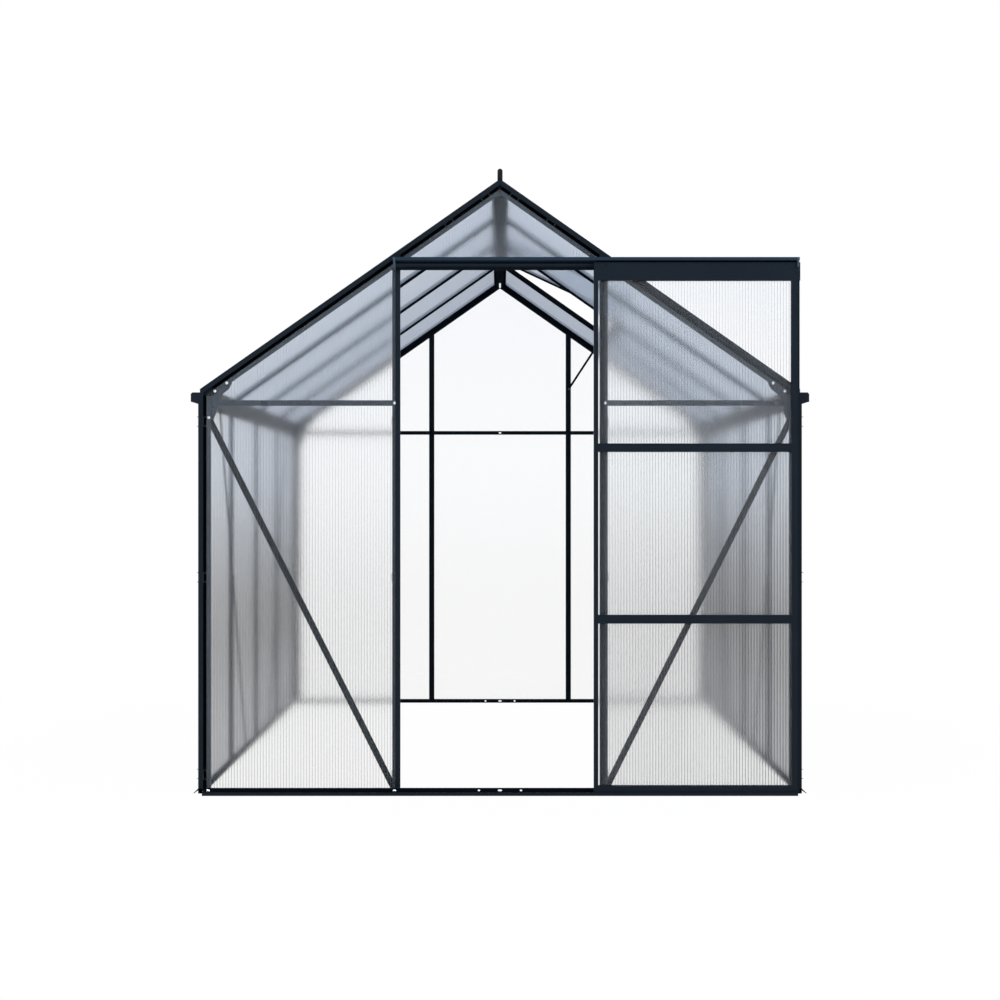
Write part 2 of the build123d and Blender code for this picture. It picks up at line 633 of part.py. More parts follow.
def door_track():
    roof_edge = -TRACK_DEPTH
    lip = roof_edge + WALL
    points = [(0, TRACK_BOTTOM), (0, TRACK_TOP), (roof_edge, TRACK_TOP), (roof_edge, TRACK_TOP - TRACK_LIP),
              (lip, TRACK_TOP - TRACK_LIP), (lip, TRACK_TOP - WALL), (-WALL, TRACK_TOP - WALL),
              (-WALL, track_ledge + WALL), (-WALL - TRACK_LEDGE_WIDTH, track_ledge + WALL),
              (-WALL - TRACK_LEDGE_WIDTH, track_ledge), (-WALL, track_ledge), (-WALL, TRACK_BOTTOM)]
    return along_x([(in_wall(depth), z) for depth, z in points], track_left, track_right)


def track_end_cap(x0, x1):
    """Moulded cap that closes the track's end and stops the rollers."""
    back = -WALL - TRACK_LEDGE_WIDTH
    lip_foot = TRACK_TOP - TRACK_LIP
    points = [(0, TRACK_BOTTOM), (0, TRACK_TOP), (-TRACK_DEPTH, TRACK_TOP), (-TRACK_DEPTH, lip_foot),
              (back, lip_foot), (back, TRACK_BOTTOM)]
    return along_x([(in_wall(depth), z) for depth, z in points], x0, x1)


def door_guide():
    """Ground channel in front of the sill that keeps the foot of the door in line."""
    lip = -TRACK_DEPTH + WALL
    points = [(0, 0), (-TRACK_DEPTH, 0), (-TRACK_DEPTH, GUIDE_LIP), (lip, GUIDE_LIP), (lip, WALL), (0, WALL)]
    half = HALF_WIDTH - SILL_WIDTH - GUIDE_INSET
    return along_x([(in_wall(depth), z) for depth, z in points], -half, half)


write("door_track", door_track())
write("track_end_caps", track_end_cap(track_left - END_CAP, track_left),
      track_end_cap(track_right, track_right + END_CAP))
write("door_guide", door_guide())


# Sliding door: hollow stiles and rails round three sheets, hung from two rollers

door_back = in_wall(-DOOR_CLEAR)
door_front = in_wall(-DOOR_CLEAR - DOOR_THICK)
left_inner = door_left + STILE_WIDTH
strip_start = door_right - STOP_STRIP_WIDTH
right_inner = strip_start - OUTER_STILE_WIDTH
rail_foot = DOOR_TOP - TOP_RAIL_HEIGHT
door_height = DOOR_TOP - DOOR_BOTTOM
mid_rail_feet = [DOOR_BOTTOM + share * door_height - MID_RAIL_HEIGHT / 2 for share in MID_RAIL_SHARES]


def outer_stile():
    """Right stile with the flat strip that meets the doorway's far post."""
    stile = tube_z(right_inner, strip_start, door_front, door_back, DOOR_BOTTOM, rail_foot)
    strip_front = door_back - STOP_STRIP_THICK
    return stile + block(strip_start, door_right, strip_front, door_back, DOOR_BOTTOM, rail_foot)


def door_sheets():
    levels = [(DOOR_BOTTOM + BOTTOM_RAIL_HEIGHT, mid_rail_feet[0]),
              (mid_rail_feet[0] + MID_RAIL_HEIGHT, mid_rail_feet[1]),
              (mid_rail_feet[1] + MID_RAIL_HEIGHT, rail_foot)]
    front = (door_front + door_back - SHEET) / 2
    return [block(left_inner, right_inner, front, front + SHEET, z0, z1) for z0, z1 in levels]


def roller(x):
    """Wheel on the track's ledge, with the axle that carries the door's top rail."""
    height = track_ledge + WALL + ROLLER_GAP + ROLLER_RADIUS
    wheel_middle = in_wall(-WALL - TRACK_LEDGE_WIDTH + ROLLER_THICK / 2)
    wheel = Pos(x, wheel_middle, height) * Rot(90, 0, 0) * Cylinder(ROLLER_RADIUS, ROLLER_THICK)
    wheel_back = wheel_middle + ROLLER_THICK / 2
    axle = Rot(90, 0, 0) * Cylinder(AXLE_RADIUS, wheel_back - door_back)
    return wheel + Pos(x, (door_back + wheel_back) / 2, height) * axle


write("door_left_stile", tube_z(door_left, left_inner, door_front, door_back, DOOR_BOTTOM, rail_foot))
write("door_right_stile", outer_stile())
write("door_top_rail", tube_x(door_left, door_right, door_front, door_back, rail_foot, DOOR_TOP))
write("door_mid_rails", *[tube_x(left_inner, right_inner, door_front, door_back, z, z + MID_RAIL_HEIGHT)
                          for z in mid_rail_feet])
write("door_bottom_rail", tube_x(left_inner, right_inner, door_front, door_back,
                                 DOOR_BOTTOM, DOOR_BOTTOM + BOTTOM_RAIL_HEIGHT))
write("door_panes", *door_sheets())
write("door_rollers", roller(door_left + ROLLER_INSET), roller(strip_start - ROLLER_INSET))
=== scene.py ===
import json
import math

import bmesh
import bpy
from mathutils import Matrix, Vector


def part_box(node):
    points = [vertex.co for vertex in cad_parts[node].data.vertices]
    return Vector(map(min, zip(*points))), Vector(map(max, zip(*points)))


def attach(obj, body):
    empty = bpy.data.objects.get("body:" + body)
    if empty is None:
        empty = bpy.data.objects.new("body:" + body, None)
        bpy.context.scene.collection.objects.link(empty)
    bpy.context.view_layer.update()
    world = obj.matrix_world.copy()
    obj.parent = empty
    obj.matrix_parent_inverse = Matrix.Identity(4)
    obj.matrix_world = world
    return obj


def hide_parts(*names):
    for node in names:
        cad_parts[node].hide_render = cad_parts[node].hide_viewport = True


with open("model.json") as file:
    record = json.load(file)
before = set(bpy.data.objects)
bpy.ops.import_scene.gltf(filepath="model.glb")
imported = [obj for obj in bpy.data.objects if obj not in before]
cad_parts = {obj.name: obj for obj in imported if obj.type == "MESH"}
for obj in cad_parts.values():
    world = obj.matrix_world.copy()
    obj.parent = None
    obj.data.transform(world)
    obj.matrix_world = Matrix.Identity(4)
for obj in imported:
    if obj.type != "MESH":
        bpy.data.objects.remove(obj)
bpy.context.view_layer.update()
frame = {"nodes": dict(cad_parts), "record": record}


# Camera: level, on the centre line of the front gable and about half as high as the ridge.
# It stands five and a half metres off, so both side walls open up behind the front sheets.

CAMERA_DISTANCE = 5.477
CAMERA_HEIGHT = 0.9132
CAMERA_LENS = 63.385
CAMERA_SENSOR = 36.0

front_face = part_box("front_sill")[0].y
camera_data = bpy.data.cameras.new("camera")
camera_data.lens = CAMERA_LENS
camera_data.sensor_width = CAMERA_SENSOR
camera = bpy.data.objects.new("camera", camera_data)
camera.location = (0.0, front_face - CAMERA_DISTANCE, CAMERA_HEIGHT)
camera.rotation_euler = (math.radians(90.0), 0.0, 0.0)
bpy.context.scene.collection.objects.link(camera)
bpy.context.scene.camera = camera
bpy.context.scene.view_settings.view_transform = "Standard"


# Studio: a white floor under a white sky that is a little blue overhead.
# Eyes, mirrors and clear sheets see both as white, and the floor keeps a soft shadow.

FLOOR_HALF = 60.0
FLOOR_WHITE = (0.9, 0.9, 0.9, 1.0)
FLOOR_SHADOW_SHARE = 0.015
FLOOR_SHADOW_START = 1.2
FLOOR_SHADOW_END = 2.6
WHITE = (1.0, 1.0, 1.0, 1.0)
SKY_OVERHEAD = (0.72, 0.82, 1.0, 1.0)
SKY_STRENGTH = 0.40
SKY_BLUE_FROM = 0.02
SKY_BLUE_TO = 0.45
SHEET_CROSSINGS = 48
SOFTBOX_PLACES = ((-3.2, -3.0, 3.4), (3.2, -3.0, 3.4))
SOFTBOX_AIM = (0.0, -1.0, 1.5)
SOFTBOX_WIDTH = 2.2
SOFTBOX_HEIGHT = 1.4
SOFTBOX_POWER = 100.0
SOFTBOX_BLUE = (0.74, 0.87, 1.0)


class Socket:
    """An output of a node. Sums and products of it add Math nodes to its tree."""

    def __init__(self, tree, socket=None):
        self.tree = tree
        self.socket = socket

    def node(self, kind, settings=None, inputs=None, output=0):
        """Add a node: its settings first, then the values or links of its inputs."""
        made = self.tree.nodes.new(kind)
        for name, value in (settings or {}).items():
            setattr(made, name, value)
        for name, value in (inputs or {}).items():
            if isinstance(value, Socket):
                self.tree.links.new(value.socket, made.inputs[name])
            else:
                made.inputs[name].default_value = value
        return Socket(self.tree, made.outputs[output] if made.outputs else None)

    def math(self, operation, first, second=0.0):
        """Math node of one or two values."""
        return self.node("ShaderNodeMath", {"operation": operation}, {0: first, 1: second})

    def __add__(self, other):
        return self.math("ADD", self, other)

    def __radd__(self, other):
        return self.math("ADD", other, self)

    def __sub__(self, other):
        return self.math("SUBTRACT", self, other)

    def __rsub__(self, other):
        return self.math("SUBTRACT", other, self)

    def __mul__(self, other):
        return self.math("MULTIPLY", self, other)

    def __rmul__(self, other):
        return self.math("MULTIPLY", other, self)

    def __truediv__(self, other):
        return self.math("DIVIDE", self, other)

    def blend(self, share, first, second):
        """Mix of two colours."""
        return self.node("ShaderNodeMix", {"data_type": "RGBA"}, {0: share, 6: first, 7: second}, 2)


def finish(name, surface):
    """Material whose surface is drawn by a function of its node tree."""
    material = bpy.data.materials.new(name)
    material.use_nodes = True
    material.node_tree.nodes.clear()
    tree = Socket(material.node_tree)
    tree.node("ShaderNodeOutputMaterial", inputs={"Surface": surface(tree)})
    return material


def ray(tree, kind):
    """One for rays of a kind."""
    return tree.node("ShaderNodeLightPath", output=f"Is {kind} Ray")


def seen_directly(tree):
    """One for rays that see the studio itself, by eye, in a mirror or through a sheet."""
    mirrored = tree.math("MAXIMUM", ray(tree, "Glossy"), ray(tree, "Transmission"))
    return tree.math("MAXIMUM", ray(tree, "Camera"), mirrored)


def floor_surface(tree):
    matt = tree.node("ShaderNodeBsdfDiffuse", inputs={"Color": FLOOR_WHITE})
    white = tree.node("ShaderNodeEmission", inputs={"Color": WHITE, "Strength": 1.0})
    place = tree.node("ShaderNodeTexCoord", output="Object")
    far = tree.node("ShaderNodeVectorMath", {"operation": "LENGTH"}, {0: place}, "Value")
    near = tree.node("ShaderNodeMapRange", {"interpolation_type": "SMOOTHSTEP"},
                     {"Value": far, "From Min": FLOOR_SHADOW_END, "From Max": FLOOR_SHADOW_START})
    share = seen_directly(tree) * (1.0 - near * FLOOR_SHADOW_SHARE)
    return tree.node("ShaderNodeMixShader", inputs={0: share, 1: matt, 2: white})


floor_mesh = bpy.data.meshes.new("floor")
floor_mesh.from_pydata([(-FLOOR_HALF, -FLOOR_HALF, 0.0), (FLOOR_HALF, -FLOOR_HALF, 0.0),
                        (FLOOR_HALF, FLOOR_HALF, 0.0), (-FLOOR_HALF, FLOOR_HALF, 0.0)], [], [(0, 1, 2, 3)])
floor_mesh.materials.append(finish("floor_white", floor_surface))
floor = bpy.data.objects.new("floor", floor_mesh)
bpy.context.scene.collection.objects.link(floor)

world = bpy.data.worlds.new("studio")
world.use_nodes = True
world.node_tree.nodes.clear()
bpy.context.scene.world = world
sky = Socket(world.node_tree)
direction = sky.node("ShaderNodeTexCoord", output="Generated")
height = sky.node("ShaderNodeSeparateXYZ", inputs={"Vector": direction}, output="Z")
overhead = sky.node("ShaderNodeMapRange", {"interpolation_type": "SMOOTHSTEP"},
                    {"Value": height, "From Min": SKY_BLUE_FROM, "From Max": SKY_BLUE_TO})
sky_colour = sky.blend(overhead * (1.0 - ray(sky, "Camera")), WHITE, SKY_OVERHEAD)
direct = seen_directly(sky)
sky_light = sky.node("ShaderNodeBackground",
                     inputs={"Color": sky_colour, "Strength": direct * (1.0 - SKY_STRENGTH) + SKY_STRENGTH})
sky.node("ShaderNodeOutputWorld", inputs={"Surface": sky_light})

for softbox_place in SOFTBOX_PLACES:
    softbox_data = bpy.data.lights.new("softbox", "AREA")
    softbox_data.shape = "RECTANGLE"
    softbox_data.size = SOFTBOX_WIDTH
    softbox_data.size_y = SOFTBOX_HEIGHT
    softbox_data.energy = SOFTBOX_POWER
    softbox_data.color = SOFTBOX_BLUE
    softbox = bpy.data.objects.new("softbox", softbox_data)
    softbox.location = softbox_place
    aim = Vector(SOFTBOX_AIM) - Vector(softbox_place)
    softbox.rotation_euler = aim.to_track_quat("-Z", "Y").to_euler()
    bpy.context.scene.collection.objects.link(softbox)
bpy.context.scene.cycles.transparent_max_bounces = SHEET_CROSSINGS


# Frame: extruded aluminium sections with a satin anthracite powder coat.
# The coat has the fine orange peel of baked powder and hides the saw marks at the cut ends.
# Members at the back and under the roof get a darker copy of it as painted shade, and the inner rails a paler
# copy as painted light.

COAT_DARK = (0.0110, 0.0150, 0.0200, 1.0)
COAT_LIGHT = (0.0165, 0.0220, 0.0290, 1.0)
# Door track in painted bands: a lighter blue lip and a paler face as painted light, a near-black band under
# the lip as painted shade.
TRACK_LIP_PAINTED_LIGHT_DIM = (0.0230, 0.0370, 0.0540, 1.0)
TRACK_LIP_PAINTED_LIGHT_BRIGHT = (0.0300, 0.0470, 0.0680, 1.0)
TRACK_FOOT = (0.0090, 0.0135, 0.0190, 1.0)
TRACK_FACE_PAINTED_LIGHT = (0.0580, 0.0840, 0.1110, 1.0)
TRACK_PAINTED_SHADE_UNDER_LIP = (0.0030, 0.0045, 0.0065, 1.0)
TRACK_PAINTED_BANDS = ((0.0270, 0.0255), (0.0165, 0.0135), (0.0104, 0.0099))
# Paler copy of the coat: painted light standing in for the sheets' haze over the rails and gussets behind
# them.
RAIL_PAINTED_LIGHT_DIM = (0.0420, 0.0520, 0.0660, 1.0)
RAIL_PAINTED_LIGHT_BRIGHT = (0.0560, 0.0680, 0.0850, 1.0)
# Darker copy of the coat: painted shade for the members dressed with it below.
PAINTED_SHADE_DARK = (0.0050, 0.0070, 0.0095, 1.0)
PAINTED_SHADE_LIGHT = (0.0080, 0.0110, 0.0145, 1.0)
COAT_PEEL = 1500.0
COAT_PEEL_STRENGTH = 0.12
COAT_PEEL_DEPTH = 0.0004
COAT_CLOUD = 7.0
COAT_ROUGH = 0.40
COAT_ROUGH_DRIFT = 0.16
COAT_SHEEN = 0.05


def powder_coat(dark, light, sheen):
    """Satin coat that drifts between two greys over the length of a section."""
    def surface(tree):
        place = tree.node("ShaderNodeTexCoord", output="Object")
        cloud = tree.node("ShaderNodeTexNoise", inputs={"Vector": place, "Scale": COAT_CLOUD, "Detail": 4.0})
        peel = tree.node("ShaderNodeTexNoise", inputs={"Vector": place, "Scale": COAT_PEEL, "Detail": 2.0})
        bump = tree.node("ShaderNodeBump", inputs={
            "Strength": COAT_PEEL_STRENGTH, "Distance": COAT_PEEL_DEPTH, "Height": peel})
        return tree.node("ShaderNodeBsdfPrincipled", inputs={
            "Base Color": tree.blend(cloud, dark, light), "Roughness": cloud * COAT_ROUGH_DRIFT + COAT_ROUGH,
            "Specular IOR Level": sheen, "Normal": bump})
    return surface


def rise(tree, low, high):
    """None up to a low height and one from a high one."""
    place = tree.node("ShaderNodeTexCoord", output="Object")
    height = tree.node("ShaderNodeSeparateXYZ", inputs={0: place}, output="Z")
    return tree.node("ShaderNodeMapRange", {"interpolation_type": "SMOOTHSTEP"},
                     {"Value": height, "From Min": low, "From Max": high})


def track_painted_light_and_shade(tree):
    """Coat of the track in painted bands: dark at its foot, paler on its face as painted light, dark under
    the lip as painted shade and a lighter blue on the lip as painted light.
    """
    cloud = tree.node("ShaderNodeTexNoise", inputs={
        "Vector": tree.node("ShaderNodeTexCoord", output="Object"), "Scale": COAT_CLOUD, "Detail": 4.0})
    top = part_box("door_track")[1].z
    lip = tree.blend(cloud, TRACK_LIP_PAINTED_LIGHT_DIM, TRACK_LIP_PAINTED_LIGHT_BRIGHT)
    tone = TRACK_FOOT
    for (low, high), above in zip(TRACK_PAINTED_BANDS, (TRACK_FACE_PAINTED_LIGHT, TRACK_PAINTED_SHADE_UNDER_LIP, lip)):
        tone = tree.blend(rise(tree, top - low, top - high), tone, above)
    return tree.node("ShaderNodeBsdfPrincipled", inputs={
        "Base Color": tone, "Roughness": cloud * COAT_ROUGH_DRIFT + COAT_ROUGH,
        "Specular IOR Level": COAT_SHEEN})


def dress(material, *nodes):
    """Give CAD nodes a material."""
    for node in nodes:
        for material_slot in frame["nodes"][node].material_slots:
            material_slot.material = material


coat = finish("powder_coat", powder_coat(COAT_DARK, COAT_LIGHT, COAT_SHEEN))
track_coat_painted_light_and_shade = finish("track_coat_painted_light_and_shade", track_painted_light_and_shade)
painted_light_rail_coat = finish("painted_light_rail_coat", powder_coat(RAIL_PAINTED_LIGHT_DIM, RAIL_PAINTED_LIGHT_BRIGHT, COAT_SHEEN))
painted_shade_coat = finish("painted_shade_coat", powder_coat(PAINTED_SHADE_DARK, PAINTED_SHADE_LIGHT, 0.0))
slot_of = {part["node"]: part["material_slot"] for part in frame["record"]["subparts"]}
dress(coat, *[node for node, slot in slot_of.items() if slot == "frame"])
# The door track carries painted bands of light and shade.
dress(track_coat_painted_light_and_shade, "door_track")
# Cross rails and gussets behind the front sheets get the paler copy as painted light.
dress(painted_light_rail_coat, "front_cross_rails", "eave_gussets")
# These members get the darker copy of the coat as painted shade.
dress(painted_shade_coat, "back_wall_posts", "back_corner_posts", "back_cross_rail", "back_sill",
      "back_gable_rafters", "ridge_beam", "left_roof_bars", "right_roof_bars", "vent_frame", "vent_sill_bar",
      "left_wall_posts", "right_wall_posts", "left_wall_braces", "right_wall_braces", "front_braces",
      "left_sill", "right_sill", "front_sill")


# Sheets: twin-wall polycarbonate, two clear skins joined by upright webs every nine millimetres.
# The skins are a little frosted, so what lies close behind shows sharp and what lies far off blurs.

# Front and back tints are painted by height: darker and warmer low down as painted shade, bluer high up as a
# painted sky reflection, with darker webs low down.
FRONT_TINTS_WITH_PAINTED_SHADE = ((0.962, 0.958, 0.957, 1.0), (0.992, 0.997, 1.0, 1.0))
FRONT_FLUTES_WITH_PAINTED_SHADE = ((0.868, 0.866, 0.866, 1.0), (0.985, 0.993, 1.0, 1.0))
BACK_TINTS_WITH_PAINTED_SHADE = ((0.952, 0.949, 0.948, 1.0), (0.993, 0.995, 1.0, 1.0))
BACK_FLUTES_WITH_PAINTED_SHADE = ((0.952, 0.950, 0.949, 1.0), (0.975, 0.978, 0.985, 1.0))
SIDE_FLUTES = (0.94, 0.945, 0.95, 1.0)
SHEET_CLEAR = 0.970
SHEET_ROUGH_LOW = 0.20
SHEET_ROUGH_RISE = 0.06
GABLE_FROM = 1.15
GABLE_TO = 1.70
SHEET_IOR = 1.12
HAZE_FACING = 0.08
HAZE_FLUTE = 0.10
HAZE_GAIN = 2.04
HAZE_POWER = 14.0
# Haze and clear colours are painted by height as a reflection of the studio: dark and warm at the horizon,
# lighter near the ground, blue above.
HAZE_PAINTED_SKY = (0.57, 0.595, 0.645, 1.0)
HAZE_PAINTED_HORIZON = (0.20, 0.195, 0.19, 1.0)
HAZE_PAINTED_GROUND = (0.34, 0.335, 0.33, 1.0)
CLEAR_PAINTED_SKY = (0.955, 0.967, 0.99, 1.0)
CLEAR_PAINTED_HORIZON = (0.81, 0.79, 0.775, 1.0)
CLEAR_PAINTED_GROUND = (0.88, 0.865, 0.855, 1.0)
PAINTED_GROUND_FROM = 0.12
PAINTED_GROUND_TO = 0.45
PAINTED_SKY_FROM = 0.45
PAINTED_SKY_TO = 1.10
WEB_DARK = (0.075, 0.080, 0.085, 1.0)
WEB_LIGHT = (0.115, 0.120, 0.125, 1.0)
WEB_CLOUD = 30.0
WEB_PITCH = 0.009
FLUTE_FROM = -0.75
FLUTE_TO = -0.15


def flutes(tree, axis):
    """One at the webs of a sheet and none midway between them, in a row along x or y."""
    place = tree.node("ShaderNodeTexCoord", output="Object")
    along = tree.node("ShaderNodeSeparateXYZ", inputs={0: place}, output=axis)
    swing = tree.math("COSINE", along * (2.0 * math.pi / WEB_PITCH))
    return tree.node("ShaderNodeMapRange", {"interpolation_type": "SMOOTHSTEP"},
                     {"Value": swing, "From Min": FLUTE_FROM, "From Max": FLUTE_TO})


def end_sheet(tints, flute_tints):
    """Skin seen square on: a faint frost blurs what lies far behind it, and its tint is painted darker low
    down as shade and bluer high up as a reflected sky.
    """
    def surface(tree):
        high = rise(tree, PAINTED_SKY_FROM, PAINTED_SKY_TO)
        tint = tree.blend(flutes(tree, "X"), tree.blend(high, *tints), tree.blend(high, *flute_tints))
        frost = rise(tree, GABLE_FROM, GABLE_TO) * SHEET_ROUGH_RISE + SHEET_ROUGH_LOW
        return tree.node("ShaderNodeBsdfPrincipled", inputs={
            "Base Color": tint, "Roughness": frost, "IOR": SHEET_IOR, "Transmission Weight": SHEET_CLEAR})
    return surface


def side_sheet(tree):
    """Skin seen at a low angle: clear with a haze that thickens toward the edge of view; its colours are
    painted by height as a reflection of the studio, darkest at the horizon, lighter by the ground and blue
    above.
    """
    high = rise(tree, PAINTED_SKY_FROM, PAINTED_SKY_TO)
    facing = tree.node("ShaderNodeLayerWeight", inputs={"Blend": 0.5}, output="Facing")
    stripes = flutes(tree, "Y")
    share = tree.math("POWER", facing, HAZE_POWER) * HAZE_GAIN + stripes * HAZE_FLUTE + HAZE_FACING
    off_ground = rise(tree, PAINTED_GROUND_FROM, PAINTED_GROUND_TO)
    haze_colour_painted_by_height = tree.blend(off_ground, HAZE_PAINTED_GROUND, tree.blend(high, HAZE_PAINTED_HORIZON, HAZE_PAINTED_SKY))
    clear_colour_painted_by_height = tree.blend(off_ground, CLEAR_PAINTED_GROUND, tree.blend(high, CLEAR_PAINTED_HORIZON, CLEAR_PAINTED_SKY))
    haze = tree.node("ShaderNodeMixShader", inputs={
        0: 0.5, 1: tree.node("ShaderNodeBsdfDiffuse", inputs={"Color": haze_colour_painted_by_height}),
        2: tree.node("ShaderNodeBsdfTranslucent", inputs={"Color": haze_colour_painted_by_height})})
    tint = tree.blend(stripes, clear_colour_painted_by_height, SIDE_FLUTES)
    clear = tree.node("ShaderNodeBsdfTransparent", inputs={"Color": tint})
    return tree.node("ShaderNodeMixShader", inputs={0: share, 1: clear, 2: haze})


def sheet_web(tree):
    """Cut edge of a web, dull and a little cloudy."""
    place = tree.node("ShaderNodeTexCoord", output="Object")
    cloud = tree.node("ShaderNodeTexNoise", inputs={"Vector": place, "Scale": WEB_CLOUD, "Detail": 2.0})
    return tree.node("ShaderNodeBsdfPrincipled", inputs={
        "Base Color": tree.blend(cloud, WEB_DARK, WEB_LIGHT), "Roughness": cloud * 0.2 + 0.4,
        "Specular IOR Level": 0.1})


front_skin = finish("front_sheet_skin", end_sheet(FRONT_TINTS_WITH_PAINTED_SHADE, FRONT_FLUTES_WITH_PAINTED_SHADE))
back_skin = finish("back_sheet_skin", end_sheet(BACK_TINTS_WITH_PAINTED_SHADE, BACK_FLUTES_WITH_PAINTED_SHADE))
side_skin = finish("side_sheet_skin", side_sheet)
web = finish("sheet_web", sheet_web)
dress(front_skin, "front_wall_panes", "door_panes")
dress(back_skin, "back_wall_panes")
dress(side_skin, "left_wall_panes", "right_wall_panes", "left_roof_panes", "right_roof_panes", "vent_pane")

SHEET = 0.004
SHEET_SET = 0.008
WEB_THICK = 0.0003
WEB_DEPTH = 0.0034


def web_tree():
    """Geometry tree: upright webs in a row, from a level foot to a sloped or gabled top."""
    group = bpy.data.node_groups.new("sheet_webs", "GeometryNodeTree")
    for name in ("Start", "End", "Foot", "Crown", "Slope", "Pitch", "Thick", "Depth"):
        group.interface.new_socket(name, in_out="INPUT", socket_type="NodeSocketFloat")
    group.interface.new_socket("Material", in_out="INPUT", socket_type="NodeSocketMaterial")
    group.interface.new_socket("Geometry", in_out="OUTPUT", socket_type="NodeSocketGeometry")
    tree = Socket(group)
    sizes = tree.node("NodeGroupInput").socket.node
    given = [Socket(group, out) for out in sizes.outputs[:9]]
    start, end, foot, crown, slope, pitch, thick, depth, material = given
    count = tree.math("FLOOR", (end - start) / pitch)
    first = start + ((end - start) - (count - 1.0) * pitch) * 0.5
    row = tree.node("GeometryNodeMeshLine", {"mode": "OFFSET"}, {
        "Count": count, "Start Location": tree.node("ShaderNodeCombineXYZ", inputs={0: first}),
        "Offset": tree.node("ShaderNodeCombineXYZ", inputs={0: pitch})})
    across = tree.node("ShaderNodeSeparateXYZ", inputs={0: tree.node("GeometryNodeInputPosition")})
    length = crown - slope * tree.math("ABSOLUTE", across) - foot
    middle = tree.node("ShaderNodeCombineXYZ", inputs={0: across, 2: foot + length * 0.5})
    scale = tree.node("ShaderNodeCombineXYZ", inputs={0: thick, 1: depth, 2: length})
    scaled = tree.node("GeometryNodeStoreNamedAttribute", {"data_type": "FLOAT_VECTOR", "domain": "POINT"},
                       {"Geometry": row, "Name": "web_scale", "Value": scale})
    placed = tree.node("GeometryNodeSetPosition", inputs={"Geometry": scaled, "Position": middle})
    kept = tree.node("GeometryNodeInputNamedAttribute", {"data_type": "FLOAT_VECTOR"}, {"Name": "web_scale"})
    webs = tree.node("GeometryNodeInstanceOnPoints", inputs={
        "Points": placed, "Instance": tree.node("GeometryNodeMeshCube", inputs={"Size": (1.0, 1.0, 1.0)}),
        "Scale": kept})
    solid = tree.node("GeometryNodeRealizeInstances", inputs={"Geometry": webs})
    done = tree.node("GeometryNodeSetMaterial", inputs={"Geometry": solid, "Material": material})
    tree.node("NodeGroupOutput", inputs={"Geometry": done})
    return group


def grown(group, values, points=()):
    """Plain mesh of a geometry tree with its named inputs set, grown on points if it takes any."""
    seed = bpy.data.meshes.new("holder")
    seed.from_pydata(points, [], [])
    holder = bpy.data.objects.new("holder", seed)
    bpy.context.scene.collection.objects.link(holder)
    modifier = holder.modifiers.new("grow", "NODES")
    modifier.node_group = group
    for item in group.interface.items_tree:
        if item.in_out == "INPUT" and item.name in values:
            modifier[item.identifier] = values[item.name]
    view = bpy.context.evaluated_depsgraph_get()
    mesh = bpy.data.meshes.new_from_object(holder.evaluated_get(view), depsgraph=view)
    holder.modifiers.remove(modifier)
    bpy.data.objects.remove(holder)
    return mesh


def piece(name, meshes, body):
    """One object of several meshes, riding on a body."""
    joined = bmesh.new()
    materials = []
    for mesh in meshes:
        start = len(joined.faces)
        joined.from_mesh(mesh)
        joined.faces.ensure_lookup_table()
        for material in mesh.materials:
            if material not in materials:
                materials.append(material)
        for face in joined.faces[start:]:
            face.material_index = materials.index(mesh.materials[face.material_index])
        bpy.data.meshes.remove(mesh)
    data = bpy.data.meshes.new(name)
    joined.to_mesh(data)
    joined.free()
    for material in materials:
        data.materials.append(material)
    made = bpy.data.objects.new(name, data)
    bpy.context.scene.collection.objects.link(made)
    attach(made, body)
    return made


webs = web_tree()


def sheet_webs(start, end, foot, crown, slope, place):
    """Webs of one sheet, in place."""
    mesh = grown(webs, {"Start": start, "End": end, "Foot": foot, "Crown": crown, "Slope": slope,
                        "Pitch": WEB_PITCH, "Thick": WEB_THICK, "Depth": WEB_DEPTH, "Material": web})
    mesh.transform(place)
    return mesh


def plane(origin, across, up):
    """Place of a row of webs: its start, the way along the row and the way up the webs."""
    out = Vector(up).cross(Vector(across))
    return Matrix.Translation(origin) @ Matrix((across, out, up)).transposed().to_4x4()


LEVEL_X = (1.0, 0.0, 0.0)
LEVEL_Y = (0.0, 1.0, 0.0)
UPRIGHT = (0.0, 0.0, 1.0)
APEX = 1.912
ROOF_SLOPE = 0.70
SLANT = math.sqrt(1.0 + ROOF_SLOPE ** 2)
CROWN_DROP = 0.0257
SHEET_FOOT = 0.003
DOOR_EDGE = 0.326
WALL_EDGE = 0.9148
HEADER_EDGE = 0.3095
HEADER_FOOT = 1.633
DOOR_LEVELS = ((0.0304, 0.5302), (0.5586, 1.0608), (1.0892, 1.591))
HALF_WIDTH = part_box("front_corner_posts")[1].x
back_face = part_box("back_corner_posts")[1].y
sheet_mid = SHEET_SET + SHEET / 2
gable_crown = APEX - CROWN_DROP * SLANT

front_place = plane((0.0, front_face + sheet_mid, 0.0), LEVEL_X, UPRIGHT)
front_rows = ((-WALL_EDGE, -DOOR_EDGE, SHEET_FOOT), (-HEADER_EDGE, HEADER_EDGE, HEADER_FOOT),
              (DOOR_EDGE, WALL_EDGE, SHEET_FOOT))
piece("front_sheet_webs", [sheet_webs(start, end, foot, gable_crown, ROOF_SLOPE, front_place)
                           for start, end, foot in front_rows], "greenhouse")

door_low, door_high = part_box("door_panes")
door_place = plane((0.0, (door_low.y + door_high.y) / 2, 0.0), LEVEL_X, UPRIGHT)
piece("door_webs", [sheet_webs(door_low.x, door_high.x, low, high, 0.0, door_place)
                    for low, high in DOOR_LEVELS], "door")


# Bolts: zinc-plated, with low round heads in the glazing seats and hexagon nuts on the inner face.
# They tie the corner plates, cross rails, braces and sills to the posts, and hold the back sill down.

